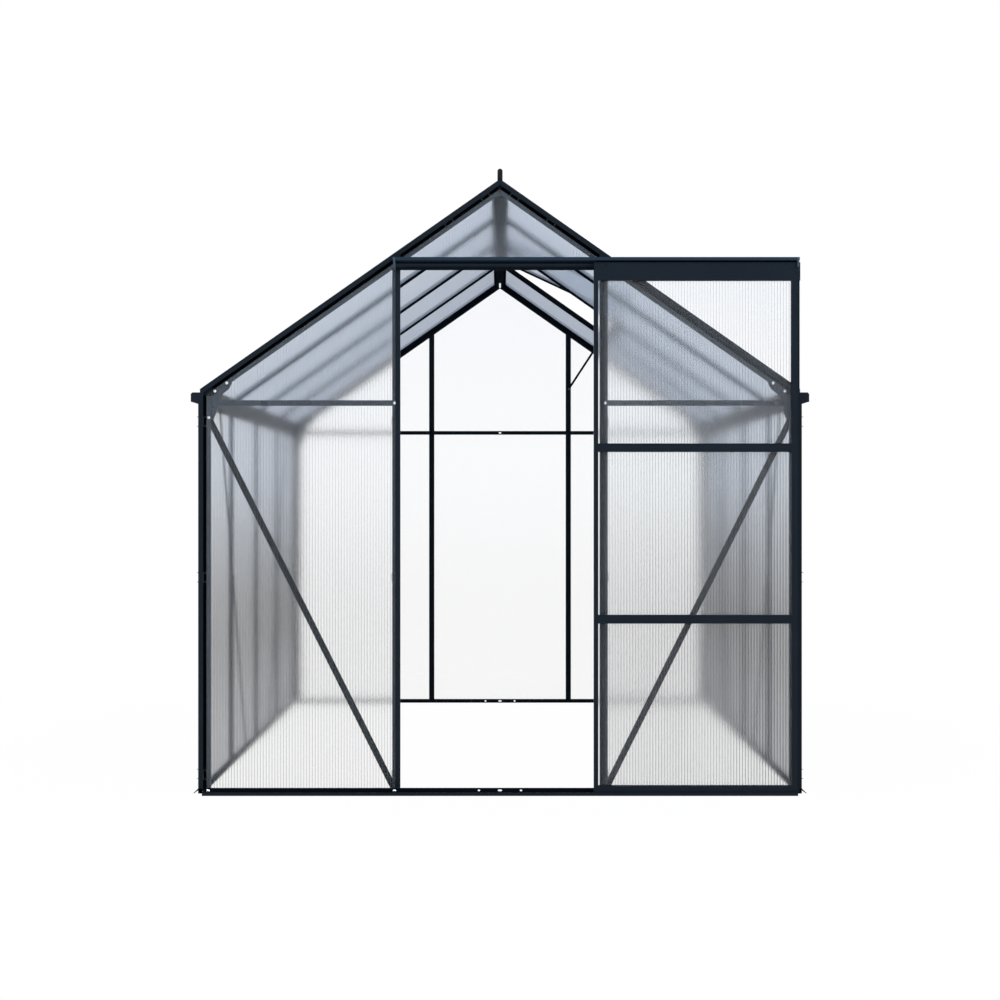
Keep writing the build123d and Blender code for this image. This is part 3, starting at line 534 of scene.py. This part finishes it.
ZINC_DARK = (0.88, 0.89, 0.90, 1.0)
ZINC_LIGHT = (0.98, 0.98, 0.98, 1.0)
HEAD = {"Radius": 0.0050, "Crown": 0.0044, "Height": 0.0014, "Sides": 14}
DOMED_HEAD = {"Radius": 0.0052, "Crown": 0.0022, "Height": 0.0026, "Sides": 14}
FLUSH_HEAD = {"Radius": 0.0048, "Crown": 0.0044, "Height": 0.0011, "Sides": 14}
NUT = {"Radius": 0.0058, "Crown": 0.0052, "Height": 0.0042, "Sides": 6}
SEAT_FACE = 0.012
PLATE_FACE = 0.016
RAIL_FACE = 0.017
PLATE_BOLTS = ((0.8519, 1.278), (0.8886, 1.2524), (0.9078, 1.1701))
RAIL_BOLTS = ((0.3284, 1.2156),)
ANCHOR_HEAD = {"Radius": 0.0046, "Crown": 0.0040, "Height": 0.0016, "Sides": 12}
ANCHOR_HEIGHT = 0.0084
ANCHORS = [(across, ANCHOR_HEIGHT) for across in (-0.0655, -0.0030, 0.0030, 0.0655)]
SILL_BOLT_HEIGHT = 0.0078
SILL_BOLTS = ((0.3288, SILL_BOLT_HEIGHT), (0.908, SILL_BOLT_HEIGHT))
ZINC_SPANGLE = 900.0


def zinc_plate(tree):
    """Bright plating with fine spangles."""
    place = tree.node("ShaderNodeTexCoord", output="Object")
    spangle = tree.node("ShaderNodeTexVoronoi", inputs={"Vector": place, "Scale": ZINC_SPANGLE},
                        output="Color")
    grain = tree.node("ShaderNodeSeparateXYZ", inputs={0: spangle})
    return tree.node("ShaderNodeBsdfPrincipled", inputs={
        "Base Color": tree.blend(grain, ZINC_DARK, ZINC_LIGHT), "Metallic": 1.0,
        "Roughness": grain * 0.1 + 0.12})


zinc = finish("zinc_plate", zinc_plate)


def fixing_tree():
    """Geometry tree: a short turned or hexagon head on every point."""
    group = bpy.data.node_groups.new("fixings", "GeometryNodeTree")
    group.interface.new_socket("Points", in_out="INPUT", socket_type="NodeSocketGeometry")
    for name in ("Radius", "Crown", "Height"):
        group.interface.new_socket(name, in_out="INPUT", socket_type="NodeSocketFloat")
    group.interface.new_socket("Sides", in_out="INPUT", socket_type="NodeSocketInt")
    group.interface.new_socket("Material", in_out="INPUT", socket_type="NodeSocketMaterial")
    group.interface.new_socket("Geometry", in_out="OUTPUT", socket_type="NodeSocketGeometry")
    tree = Socket(group)
    sizes = tree.node("NodeGroupInput").socket.node
    points, radius, crown, height, sides, material = [Socket(group, out) for out in sizes.outputs[:6]]
    head = tree.node("GeometryNodeMeshCone", inputs={
        "Vertices": sides, "Radius Top": crown, "Radius Bottom": radius, "Depth": height})
    heads = tree.node("GeometryNodeInstanceOnPoints", inputs={"Points": points, "Instance": head})
    solid = tree.node("GeometryNodeRealizeInstances", inputs={"Geometry": heads})
    done = tree.node("GeometryNodeSetMaterial", inputs={"Geometry": solid, "Material": material})
    tree.node("NodeGroupOutput", inputs={"Geometry": done})
    return group


fixings = fixing_tree()


def face(origin, along, up):
    """Place of a flat face: its origin, its own two directions and the way out of it."""
    out = Vector(along).cross(Vector(up))
    return Matrix.Translation(origin) @ Matrix((along, up, out)).transposed().to_4x4()


def fixed(kind, material, spots, place):
    """Heads of one kind on spots of a face."""
    mesh = grown(fixings, dict(kind, Material=material), [(across, high, 0.0) for across, high in spots])
    mesh.transform(place)
    return mesh


def both_sides(spots):
    """Spots and their mirror images."""
    return [(side * across, high) for across, high in spots for side in (-1.0, 1.0)]


BACKWARD_X = (-1.0, 0.0, 0.0)
BACKWARD_Y = (0.0, -1.0, 0.0)
end_bolts = []
for gable, outward_along, inward_along, inward in ((front_face, LEVEL_X, BACKWARD_X, 1.0),
                                                   (back_face, BACKWARD_X, LEVEL_X, -1.0)):
    seat = face((0.0, gable + inward * SEAT_FACE, 0.0), outward_along, UPRIGHT)
    end_bolts.append(fixed(FLUSH_HEAD, zinc, both_sides(PLATE_BOLTS + RAIL_BOLTS), seat))
    sill = face((0.0, gable, 0.0), outward_along, UPRIGHT)
    end_bolts.append(fixed(DOMED_HEAD, zinc, both_sides(SILL_BOLTS), sill))
    for depth, spots in ((PLATE_FACE, PLATE_BOLTS), (RAIL_FACE, RAIL_BOLTS)):
        inner = face((0.0, gable + inward * depth, 0.0), inward_along, UPRIGHT)
        end_bolts.append(fixed(NUT, coat, both_sides(spots), inner))
back_sill_face = face((0.0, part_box("back_sill")[0].y, 0.0), LEVEL_X, UPRIGHT)
end_bolts.append(fixed(ANCHOR_HEAD, zinc, ANCHORS, back_sill_face))
piece("gable_bolts", end_bolts, "greenhouse")

BAY = (back_face - front_face) / 4
WALL_POSTS = [front_face + BAY * step for step in (1, 2, 3)]
BRACE_ENDS = ((0.545 * BAY, 1.2055), (1.495 * BAY, 0.0205), (BAY, 0.645))
for side, name in ((-1.0, "left"), (1.0, "right")):
    outer_along = LEVEL_Y if side > 0 else BACKWARD_Y
    inner_along = BACKWARD_Y if side > 0 else LEVEL_Y
    outer = face((side * HALF_WIDTH, 0.0, 0.0), outer_along, UPRIGHT)
    inner = face((side * (HALF_WIDTH - PLATE_FACE), 0.0, 0.0), inner_along, UPRIGHT)
    post_spots = [(outer_along[1] * post, SILL_BOLT_HEIGHT) for post in WALL_POSTS]
    brace_places = [(front_face + inset, high) for inset, high in BRACE_ENDS]
    brace_places += [(back_face - inset, high) for inset, high in BRACE_ENDS]
    brace_spots = [(inner_along[1] * place, high) for place, high in brace_places]
    piece(name + "_wall_bolts", [fixed(HEAD, zinc, post_spots, outer), fixed(NUT, coat, brace_spots, inner)],
          "greenhouse")


# Glazing clips: spring steel wire bent to flat loops that hold the sheet's edge against the nose.
# Each loop lies across the open groove beside a post, a jamb or a gable rafter.

CLIP_WIDTH = 0.0125
CLIP_HEIGHT = 0.028
CLIP_BEND = 0.003
CLIP_WIRE = 0.0007
CLIP_FACE = 0.0068
CLIP_HEIGHTS = (1.158, 0.672, 0.058)
POST_CLIP = 0.9184
JAMB_CLIP = 0.3308
RAFTER_CLIPS = (0.170, 0.056)
RAFTER_CLIP_DEPTH = 0.0205
CLIP_LEG = {"Radius": 0.0013, "Crown": 0.0010, "Height": 0.0075, "Sides": 6}
CLIP_LEG_SPREAD = 0.0145
WIRE_DARK = (0.08, 0.083, 0.088, 1.0)
WIRE_LIGHT = (0.20, 0.205, 0.215, 1.0)
WIRE_CLOUD = 240.0


def spring_wire(tree):
    """Dull drawn wire."""
    place = tree.node("ShaderNodeTexCoord", output="Object")
    cloud = tree.node("ShaderNodeTexNoise", inputs={"Vector": place, "Scale": WIRE_CLOUD, "Detail": 3.0})
    return tree.node("ShaderNodeBsdfPrincipled", inputs={
        "Base Color": tree.blend(cloud, WIRE_DARK, WIRE_LIGHT), "Metallic": 0.8,
        "Roughness": cloud * 0.2 + 0.3})


def clip_tree():
    """Geometry tree: a flat wire loop with rounded corners on every point."""
    group = bpy.data.node_groups.new("wire_clips", "GeometryNodeTree")
    group.interface.new_socket("Points", in_out="INPUT", socket_type="NodeSocketGeometry")
    for name in ("Width", "Height", "Bend", "Wire"):
        group.interface.new_socket(name, in_out="INPUT", socket_type="NodeSocketFloat")
    group.interface.new_socket("Material", in_out="INPUT", socket_type="NodeSocketMaterial")
    group.interface.new_socket("Geometry", in_out="OUTPUT", socket_type="NodeSocketGeometry")
    tree = Socket(group)
    sizes = tree.node("NodeGroupInput").socket.node
    points, width, height, bend, wire, material = [Socket(group, out) for out in sizes.outputs[:6]]
    loop = tree.node("GeometryNodeCurvePrimitiveQuadrilateral", inputs={"Width": width, "Height": height})
    bent = tree.node("GeometryNodeFilletCurve", {"mode": "POLY"}, {"Curve": loop, "Count": 2, "Radius": bend})
    ring = tree.node("GeometryNodeCurvePrimitiveCircle", inputs={"Resolution": 5, "Radius": wire})
    drawn = tree.node("GeometryNodeCurveToMesh", inputs={"Curve": bent, "Profile Curve": ring})
    clips = tree.node("GeometryNodeInstanceOnPoints", inputs={"Points": points, "Instance": drawn})
    solid = tree.node("GeometryNodeRealizeInstances", inputs={"Geometry": clips})
    done = tree.node("GeometryNodeSetMaterial", inputs={"Geometry": solid, "Material": material})
    tree.node("NodeGroupOutput", inputs={"Geometry": done})
    return group


wire = finish("spring_wire", spring_wire)
clips = clip_tree()


def clipped(spots, place, turned=False):
    """Loops on spots of a face, upright or turned on their side."""
    width, height = (CLIP_HEIGHT, CLIP_WIDTH) if turned else (CLIP_WIDTH, CLIP_HEIGHT)
    sizes = {"Width": width, "Height": height, "Bend": CLIP_BEND, "Wire": CLIP_WIRE, "Material": wire}
    mesh = grown(clips, sizes, [(across, high, 0.0) for across, high in spots])
    mesh.transform(place)
    return mesh


end_clips = []
slope_run, slope_rise = 1.0 / SLANT, ROOF_SLOPE / SLANT
for gable, along, inward in ((front_face, LEVEL_X, 1.0), (back_face, BACKWARD_X, -1.0)):
    level = gable + inward * CLIP_FACE
    columns = (POST_CLIP, JAMB_CLIP) if inward > 0 else (POST_CLIP,)
    spots = [(column, high) for column in columns for high in CLIP_HEIGHTS]
    end_clips.append(clipped(both_sides(spots), face((0.0, level, 0.0), along, UPRIGHT)))
    for side in (-1.0, 1.0):
        down = (along[0] * slope_run, 0.0, -side * slope_rise)
        square = (along[0] * side * slope_rise, 0.0, slope_run)
        slope_spots = [(side * reach * SLANT, -RAFTER_CLIP_DEPTH) for reach in RAFTER_CLIPS]
        end_clips.append(clipped(slope_spots, face((0.0, level, APEX), down, square), turned=True))
piece("gable_clips", end_clips, "greenhouse")

CORNER_CLIP = HALF_WIDTH - POST_CLIP
for side, name in ((-1.0, "left"), (1.0, "right")):
    along = LEVEL_Y if side > 0 else BACKWARD_Y
    wall = face((side * (HALF_WIDTH - CLIP_FACE), 0.0, 0.0), along, UPRIGHT)
    spots = [(along[1] * place, high) for place in (front_face + CORNER_CLIP, back_face - CORNER_CLIP)
             for high in CLIP_HEIGHTS]
    legs = [(place, high + spread) for place, high in spots for spread in (-CLIP_LEG_SPREAD, CLIP_LEG_SPREAD)]
    leg_face = face((side * HALF_WIDTH, 0.0, 0.0), along, UPRIGHT)
    piece(name + "_wall_clips", [clipped(spots, wall), fixed(CLIP_LEG, wire, legs, leg_face)],
          "greenhouse")


# Glazing strips: a black rubber gasket lies in the open groove beside each nose, pushed in by hand, its
# near-black partly painted shade of the groove.
# A grey foam tape on the seat behind it beds the edge of the sheet, and both run the length of the bar; the
# tape's pale grey is partly painted light of the sheet's haze.

GASKET_SECTION = ((0.0, 0.0002), (0.0086, 0.0002), (0.0086, 0.0016), (0.0072, 0.0028),
                  (0.0056, 0.0018), (0.0030, 0.0018), (0.0014, 0.0028), (0.0, 0.0016))
TAPE_SECTION = ((0.0, 0.0001), (0.0130, 0.0001), (0.0127, 0.0004), (0.0003, 0.0004))
JAMB_TAPE_SECTION = ((0.0, 0.0001), (0.0096, 0.0001), (0.0093, 0.0004), (0.0003, 0.0004))
# The gasket's near-black is partly its rubber and partly painted shade in the groove.
RUBBER_PAINTED_SHADE_DARK = (0.0008, 0.0009, 0.0011, 1.0)
RUBBER_PAINTED_SHADE_LIGHT = (0.0018, 0.0020, 0.0023, 1.0)
# The tape's pale grey is partly its foam and partly painted light of the sheet's haze over the seat.
TAPE_PAINTED_HAZE_DIM = (0.070, 0.081, 0.095, 1.0)
TAPE_PAINTED_HAZE_BRIGHT = (0.095, 0.110, 0.128, 1.0)
POST_GASKET = 0.9242
POST_TAPE = 0.9146
JAMB_TAPE = 0.3262
STRIP_FOOT = 0.0160
POST_STRIP_TOP = 1.2380
JAMB_STRIP_TOP = 1.6280
RAFTER_GASKET = 0.0148
RAFTER_TAPE = 0.0246
RAFTER_STRIP_START = 0.0200
RAFTER_STRIP_END = 1.1050
STRIP_CLOUD = 90.0


def soft_strip(dark, light):
    """Dull rubber or foam: the gasket's near-black is partly painted shade and the tape's pale grey partly
    painted light.
    """
    def surface(tree):
        place = tree.node("ShaderNodeTexCoord", output="Object")
        cloud = tree.node("ShaderNodeTexNoise", inputs={"Vector": place, "Scale": STRIP_CLOUD, "Detail": 3.0})
        return tree.node("ShaderNodeBsdfPrincipled", inputs={
            "Base Color": tree.blend(cloud, dark, light), "Roughness": cloud * 0.2 + 0.7,
            "Specular IOR Level": 0.0})
    return surface


rubber = finish("black_rubber_and_painted_shade", soft_strip(RUBBER_PAINTED_SHADE_DARK, RUBBER_PAINTED_SHADE_LIGHT))
foam = finish("foam_tape_and_painted_light", soft_strip(TAPE_PAINTED_HAZE_DIM, TAPE_PAINTED_HAZE_BRIGHT))


def strip(section, material, origin, across, out, along, start, end):
    """Straight bar of one section, drawn along a line from its start to its end."""
    origin, across, out, along = Vector(origin), Vector(across), Vector(out), Vector(along)
    built = bmesh.new()
    rows = [[built.verts.new(origin + across * u + out * w + along * reach) for u, w in section]
            for reach in (start, end)]
    count = len(section)
    for step in range(count):
        after = (step + 1) % count
        built.faces.new((rows[0][step], rows[0][after], rows[1][after], rows[1][step]))
    built.faces.new(rows[0])
    built.faces.new(rows[1])
    bmesh.ops.recalc_face_normals(built, faces=built.faces)
    mesh = bpy.data.meshes.new("strip")
    built.to_mesh(mesh)
    built.free()
    mesh.materials.append(material)
    return mesh


gaskets, tapes = [], []
for gable, out, inward in ((front_face, BACKWARD_Y, 1.0), (back_face, LEVEL_Y, -1.0)):
    seat = gable + inward * SEAT_FACE
    for side in (-1.0, 1.0):
        outer, middle = (side, 0.0, 0.0), (-side, 0.0, 0.0)
        gaskets.append(strip(GASKET_SECTION, rubber, (side * POST_GASKET, seat, 0.0), middle, out, UPRIGHT,
                             STRIP_FOOT, POST_STRIP_TOP))
        tapes.append(strip(TAPE_SECTION, foam, (side * POST_TAPE, seat, 0.0), middle, out, UPRIGHT,
                           STRIP_FOOT, POST_STRIP_TOP))
        if inward > 0:
            tapes.append(strip(JAMB_TAPE_SECTION, foam, (side * JAMB_TAPE, seat, 0.0), outer, out, UPRIGHT,
                               STRIP_FOOT, JAMB_STRIP_TOP))
        down_slope = Vector((side * slope_run, 0.0, -slope_rise))
        under_slope = Vector((-side * slope_rise, 0.0, -slope_run))
        for depth, section, material, strips in ((RAFTER_GASKET, GASKET_SECTION, rubber, gaskets),
                                                 (RAFTER_TAPE, TAPE_SECTION, foam, tapes)):
            start = Vector((0.0, seat, APEX)) + under_slope * depth
            strips.append(strip(section, material, start, under_slope, out, down_slope,
                                RAFTER_STRIP_START, RAFTER_STRIP_END))
piece("gable_gaskets", gaskets, "greenhouse")
piece("gable_tapes", tapes, "greenhouse")


# Gutter covers: short pressed plates that close the open top of each gutter at its ends.
# They are coated like the eave and stay inside its cut ends.

COVER_SECTION = ((-0.0085, 1.2310), (-0.0085, 1.2480), (0.0180, 1.2480), (0.0230, 1.2430),
                 (0.0230, 1.2310))
COVER_SET = 0.0003
COVER_THICK = 0.0020

covers = []
for side, node in ((-1.0, "left_eave_gutter"), (1.0, "right_eave_gutter")):
    gutter_low, gutter_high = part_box(node)
    for end, inward in ((gutter_low.y, 1.0), (gutter_high.y, -1.0)):
        covers.append(strip(COVER_SECTION, coat, (side * HALF_WIDTH, end, 0.0), (side, 0.0, 0.0), UPRIGHT,
                            LEVEL_Y, inward * COVER_SET, inward * (COVER_SET + COVER_THICK)))
piece("gutter_covers", covers, "greenhouse")


# Ridge tie: a bright zinc strap under the back end of the ridge, tied to the gable's apex.
# Only its lower face shows, as a light stroke high up at the end of the doorway's view.

TIE_SECTION = ((-0.0045, 0.0), (0.0045, 0.0), (0.0036, -0.0008), (-0.0036, -0.0008))
TIE_LENGTH = 0.185
TIE_SET = 0.016

ridge_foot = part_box("ridge_beam")[0].z
piece("ridge_tie", [strip(TIE_SECTION, zinc, (0.0, back_face - TIE_SET, ridge_foot), LEVEL_X, UPRIGHT,
                          BACKWARD_Y, 0.0, TIE_LENGTH)], "greenhouse")


# Mouldings: injection-moulded plastic plugs and caps that close the cut ends.
# The ridge plugs are black, and the caps of the track are a paler blue-grey.

PLUG_DARK = (0.0022, 0.0026, 0.0030, 1.0)
PLUG_LIGHT = (0.0050, 0.0056, 0.0064, 1.0)
CAP_DARK = (0.045, 0.062, 0.080, 1.0)
CAP_LIGHT = (0.075, 0.100, 0.125, 1.0)
PLUG_HALF = 0.0076
PLUG_FOOT = 1.908
PLUG_TOP = 1.9435
PLUG_THICK = 0.0024
PLUG_ARC_STEPS = 12
DISH_WIDTH = 0.55
DISH_HEIGHT = 0.62
DISH_DEPTH = 0.4
MOULD_GRAIN = 420.0
MOULD_BUMP_STRENGTH = 0.2
MOULD_BUMP_DEPTH = 0.0003


def moulding(dark, light):
    """Grained plastic with a low sheen."""
    def surface(tree):
        place = tree.node("ShaderNodeTexCoord", output="Object")
        grain = tree.node("ShaderNodeTexNoise", inputs={"Vector": place, "Scale": MOULD_GRAIN, "Detail": 3.0})
        bump = tree.node("ShaderNodeBump", inputs={
            "Strength": MOULD_BUMP_STRENGTH, "Distance": MOULD_BUMP_DEPTH, "Height": grain})
        return tree.node("ShaderNodeBsdfPrincipled", inputs={
            "Base Color": tree.blend(grain, dark, light), "Roughness": grain * 0.2 + 0.42,
            "Specular IOR Level": 0.2, "Normal": bump})
    return surface


black_moulding = finish("black_moulding", moulding(PLUG_DARK, PLUG_LIGHT))
grey_moulding = finish("grey_moulding", moulding(CAP_DARK, CAP_LIGHT))
dress(grey_moulding, "track_end_caps")
dress(black_moulding, "door_rollers")

CAP_PLATE_SECTION = ((0.0, 0.0), (0.0, 0.0295), (0.0010, 0.0305), (0.0055, 0.0305), (0.0055, 0.0020),
                     (0.0035, 0.0))
CAP_PLATE_FOOT = 0.0310
CAP_PLATE_SET = 0.0001
CAP_PLATE_THICK = 0.0016

cap_plates = []
track_low, track_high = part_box("door_track")
for end, side in ((track_low.x, -1.0), (track_high.x, 1.0)):
    corner = (end, track_low.y, track_high.z - CAP_PLATE_FOOT)
    cap_plates.append(strip(CAP_PLATE_SECTION, grey_moulding, corner, (side, 0.0, 0.0), UPRIGHT, LEVEL_Y,
                            CAP_PLATE_SET, CAP_PLATE_THICK))
piece("track_cap_plates", cap_plates, "greenhouse")


def ridge_plug(start, end):
    """Round-topped plug with a shallow dished face, in the hollow upstand of the ridge."""
    centre = PLUG_TOP - PLUG_HALF
    turns = [math.pi * step / PLUG_ARC_STEPS for step in range(PLUG_ARC_STEPS + 1)]
    outline = [(-PLUG_HALF, PLUG_FOOT)]
    outline += [(-PLUG_HALF * math.cos(turn), centre + PLUG_HALF * math.sin(turn)) for turn in turns]
    outline.append((PLUG_HALF, PLUG_FOOT))
    middle_height = (PLUG_FOOT + PLUG_TOP) / 2
    dished = [(DISH_WIDTH * x, middle_height + DISH_HEIGHT * (z - middle_height)) for x, z in outline]
    dish = start + (end - start) * DISH_DEPTH
    rings = [(outline, end), (outline, start), (dished, dish)]
    built = bmesh.new()
    rows = [[built.verts.new((x, y, z)) for x, z in ring] for ring, y in rings]
    count = len(outline)
    for row, below in zip(rows, rows[1:]):
        for step in range(count):
            built.faces.new((row[step], row[(step + 1) % count], below[(step + 1) % count], below[step]))
    built.faces.new(rows[0])
    built.faces.new(rows[-1])
    bmesh.ops.recalc_face_normals(built, faces=built.faces)
    mesh = bpy.data.meshes.new("ridge_plug")
    built.to_mesh(mesh)
    built.free()
    mesh.materials.append(black_moulding)
    return mesh


ridge_low, ridge_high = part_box("ridge_beam")
piece("ridge_plugs", [ridge_plug(ridge_low.y, ridge_low.y + PLUG_THICK),
                      ridge_plug(ridge_high.y, ridge_high.y - PLUG_THICK)], "greenhouse")


# Door and vent fittings: axle screws of the rollers, the knuckles of the vent's hinge and the vent's stay.
# The screws ride with the door, and the stay is a dark round-ended steel strap with a peg in its foot.

SCREW = {"Radius": 0.0036, "Crown": 0.0026, "Height": 0.0014, "Sides": 12}
PIN = {"Radius": 0.0030, "Crown": 0.0030, "Height": 0.016, "Sides": 10}
KNUCKLE = {"Radius": 0.0040, "Crown": 0.0040, "Height": 0.052, "Sides": 12}
SCREW_DROP = 0.0075
STRIP_SCREW_DROP = 0.032
AXLE_INSET = 0.008
STRIP_SCREW_INSET = 0.012
KNUCKLES = 6
KNUCKLE_START = 0.3
KNUCKLE_RISE = 0.012
HINGE_OUT = 0.008
PEG_ACROSS = 0.006
PEG_UP = 0.008
PEG_REACH = 0.008
STAY_DARK = (0.004, 0.005, 0.006, 1.0)
STAY_LIGHT = (0.008, 0.009, 0.010, 1.0)
STAY_HALF = 0.0042
STAY_THICK = 0.0044
STAY_ARC_STEPS = 6

door_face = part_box("door_top_rail")[0].y
door_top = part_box("door_top_rail")[1].z
rollers_low, rollers_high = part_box("door_rollers")
stile_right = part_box("door_right_stile")[1].x
axle_spots = [(rollers_low.x + AXLE_INSET, door_top - SCREW_DROP),
              (rollers_high.x - AXLE_INSET, door_top - SCREW_DROP),
              (stile_right - STRIP_SCREW_INSET, door_top - STRIP_SCREW_DROP)]
door_front = face((0.0, door_face, 0.0), LEVEL_X, UPRIGHT)
piece("door_screws", [fixed(SCREW, black_moulding, axle_spots, door_front)], "door")

hinge_height = APEX - ROOF_SLOPE * HINGE_OUT
vent_low, vent_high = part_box("vent_frame")
stay_low, stay_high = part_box("vent_stay")
knuckle_gap = (vent_high.y - vent_low.y) / KNUCKLES
knuckles = []
for step in range(KNUCKLES):
    start = vent_low.y + knuckle_gap * (step + KNUCKLE_START)
    knuckles.append(fixed(KNUCKLE, coat, [(0.0, 0.0)],
                          face((HINGE_OUT, start, hinge_height + KNUCKLE_RISE), BACKWARD_X, UPRIGHT)))
piece("vent_hinge", knuckles, "greenhouse")
stay_middle = (stay_low.y + stay_high.y) / 2
peg_face = face((0.0, stay_middle - PEG_REACH, 0.0), BACKWARD_X, UPRIGHT)
peg_spot = (-(stay_low.x + PEG_ACROSS), stay_low.z + PEG_UP)
piece("stay_peg", [fixed(PIN, wire, [peg_spot], peg_face)], "greenhouse")

stay_steel = finish("stay_steel", powder_coat(STAY_DARK, STAY_LIGHT, 0.0))
stay_foot = Vector((stay_low.x, stay_middle, stay_low.z))
stay_way = Vector((stay_high.x, stay_middle, stay_high.z)) - stay_foot
stay_length = stay_way.length
stay_way.normalize()
stay_across = Vector((-stay_way.z, 0.0, stay_way.x))
arc = [math.pi * step / STAY_ARC_STEPS for step in range(STAY_ARC_STEPS + 1)]
strap = [(STAY_HALF - STAY_HALF * math.sin(turn), STAY_HALF * math.cos(turn)) for turn in arc]
strap += [(stay_length - STAY_HALF + STAY_HALF * math.sin(turn), -STAY_HALF * math.cos(turn)) for turn in arc]
stay = piece("stay_strap", [strip(strap, stay_steel, stay_foot, stay_way, stay_across, LEVEL_Y,
                                  -STAY_THICK / 2, STAY_THICK / 2)], "greenhouse")
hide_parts("vent_stay")
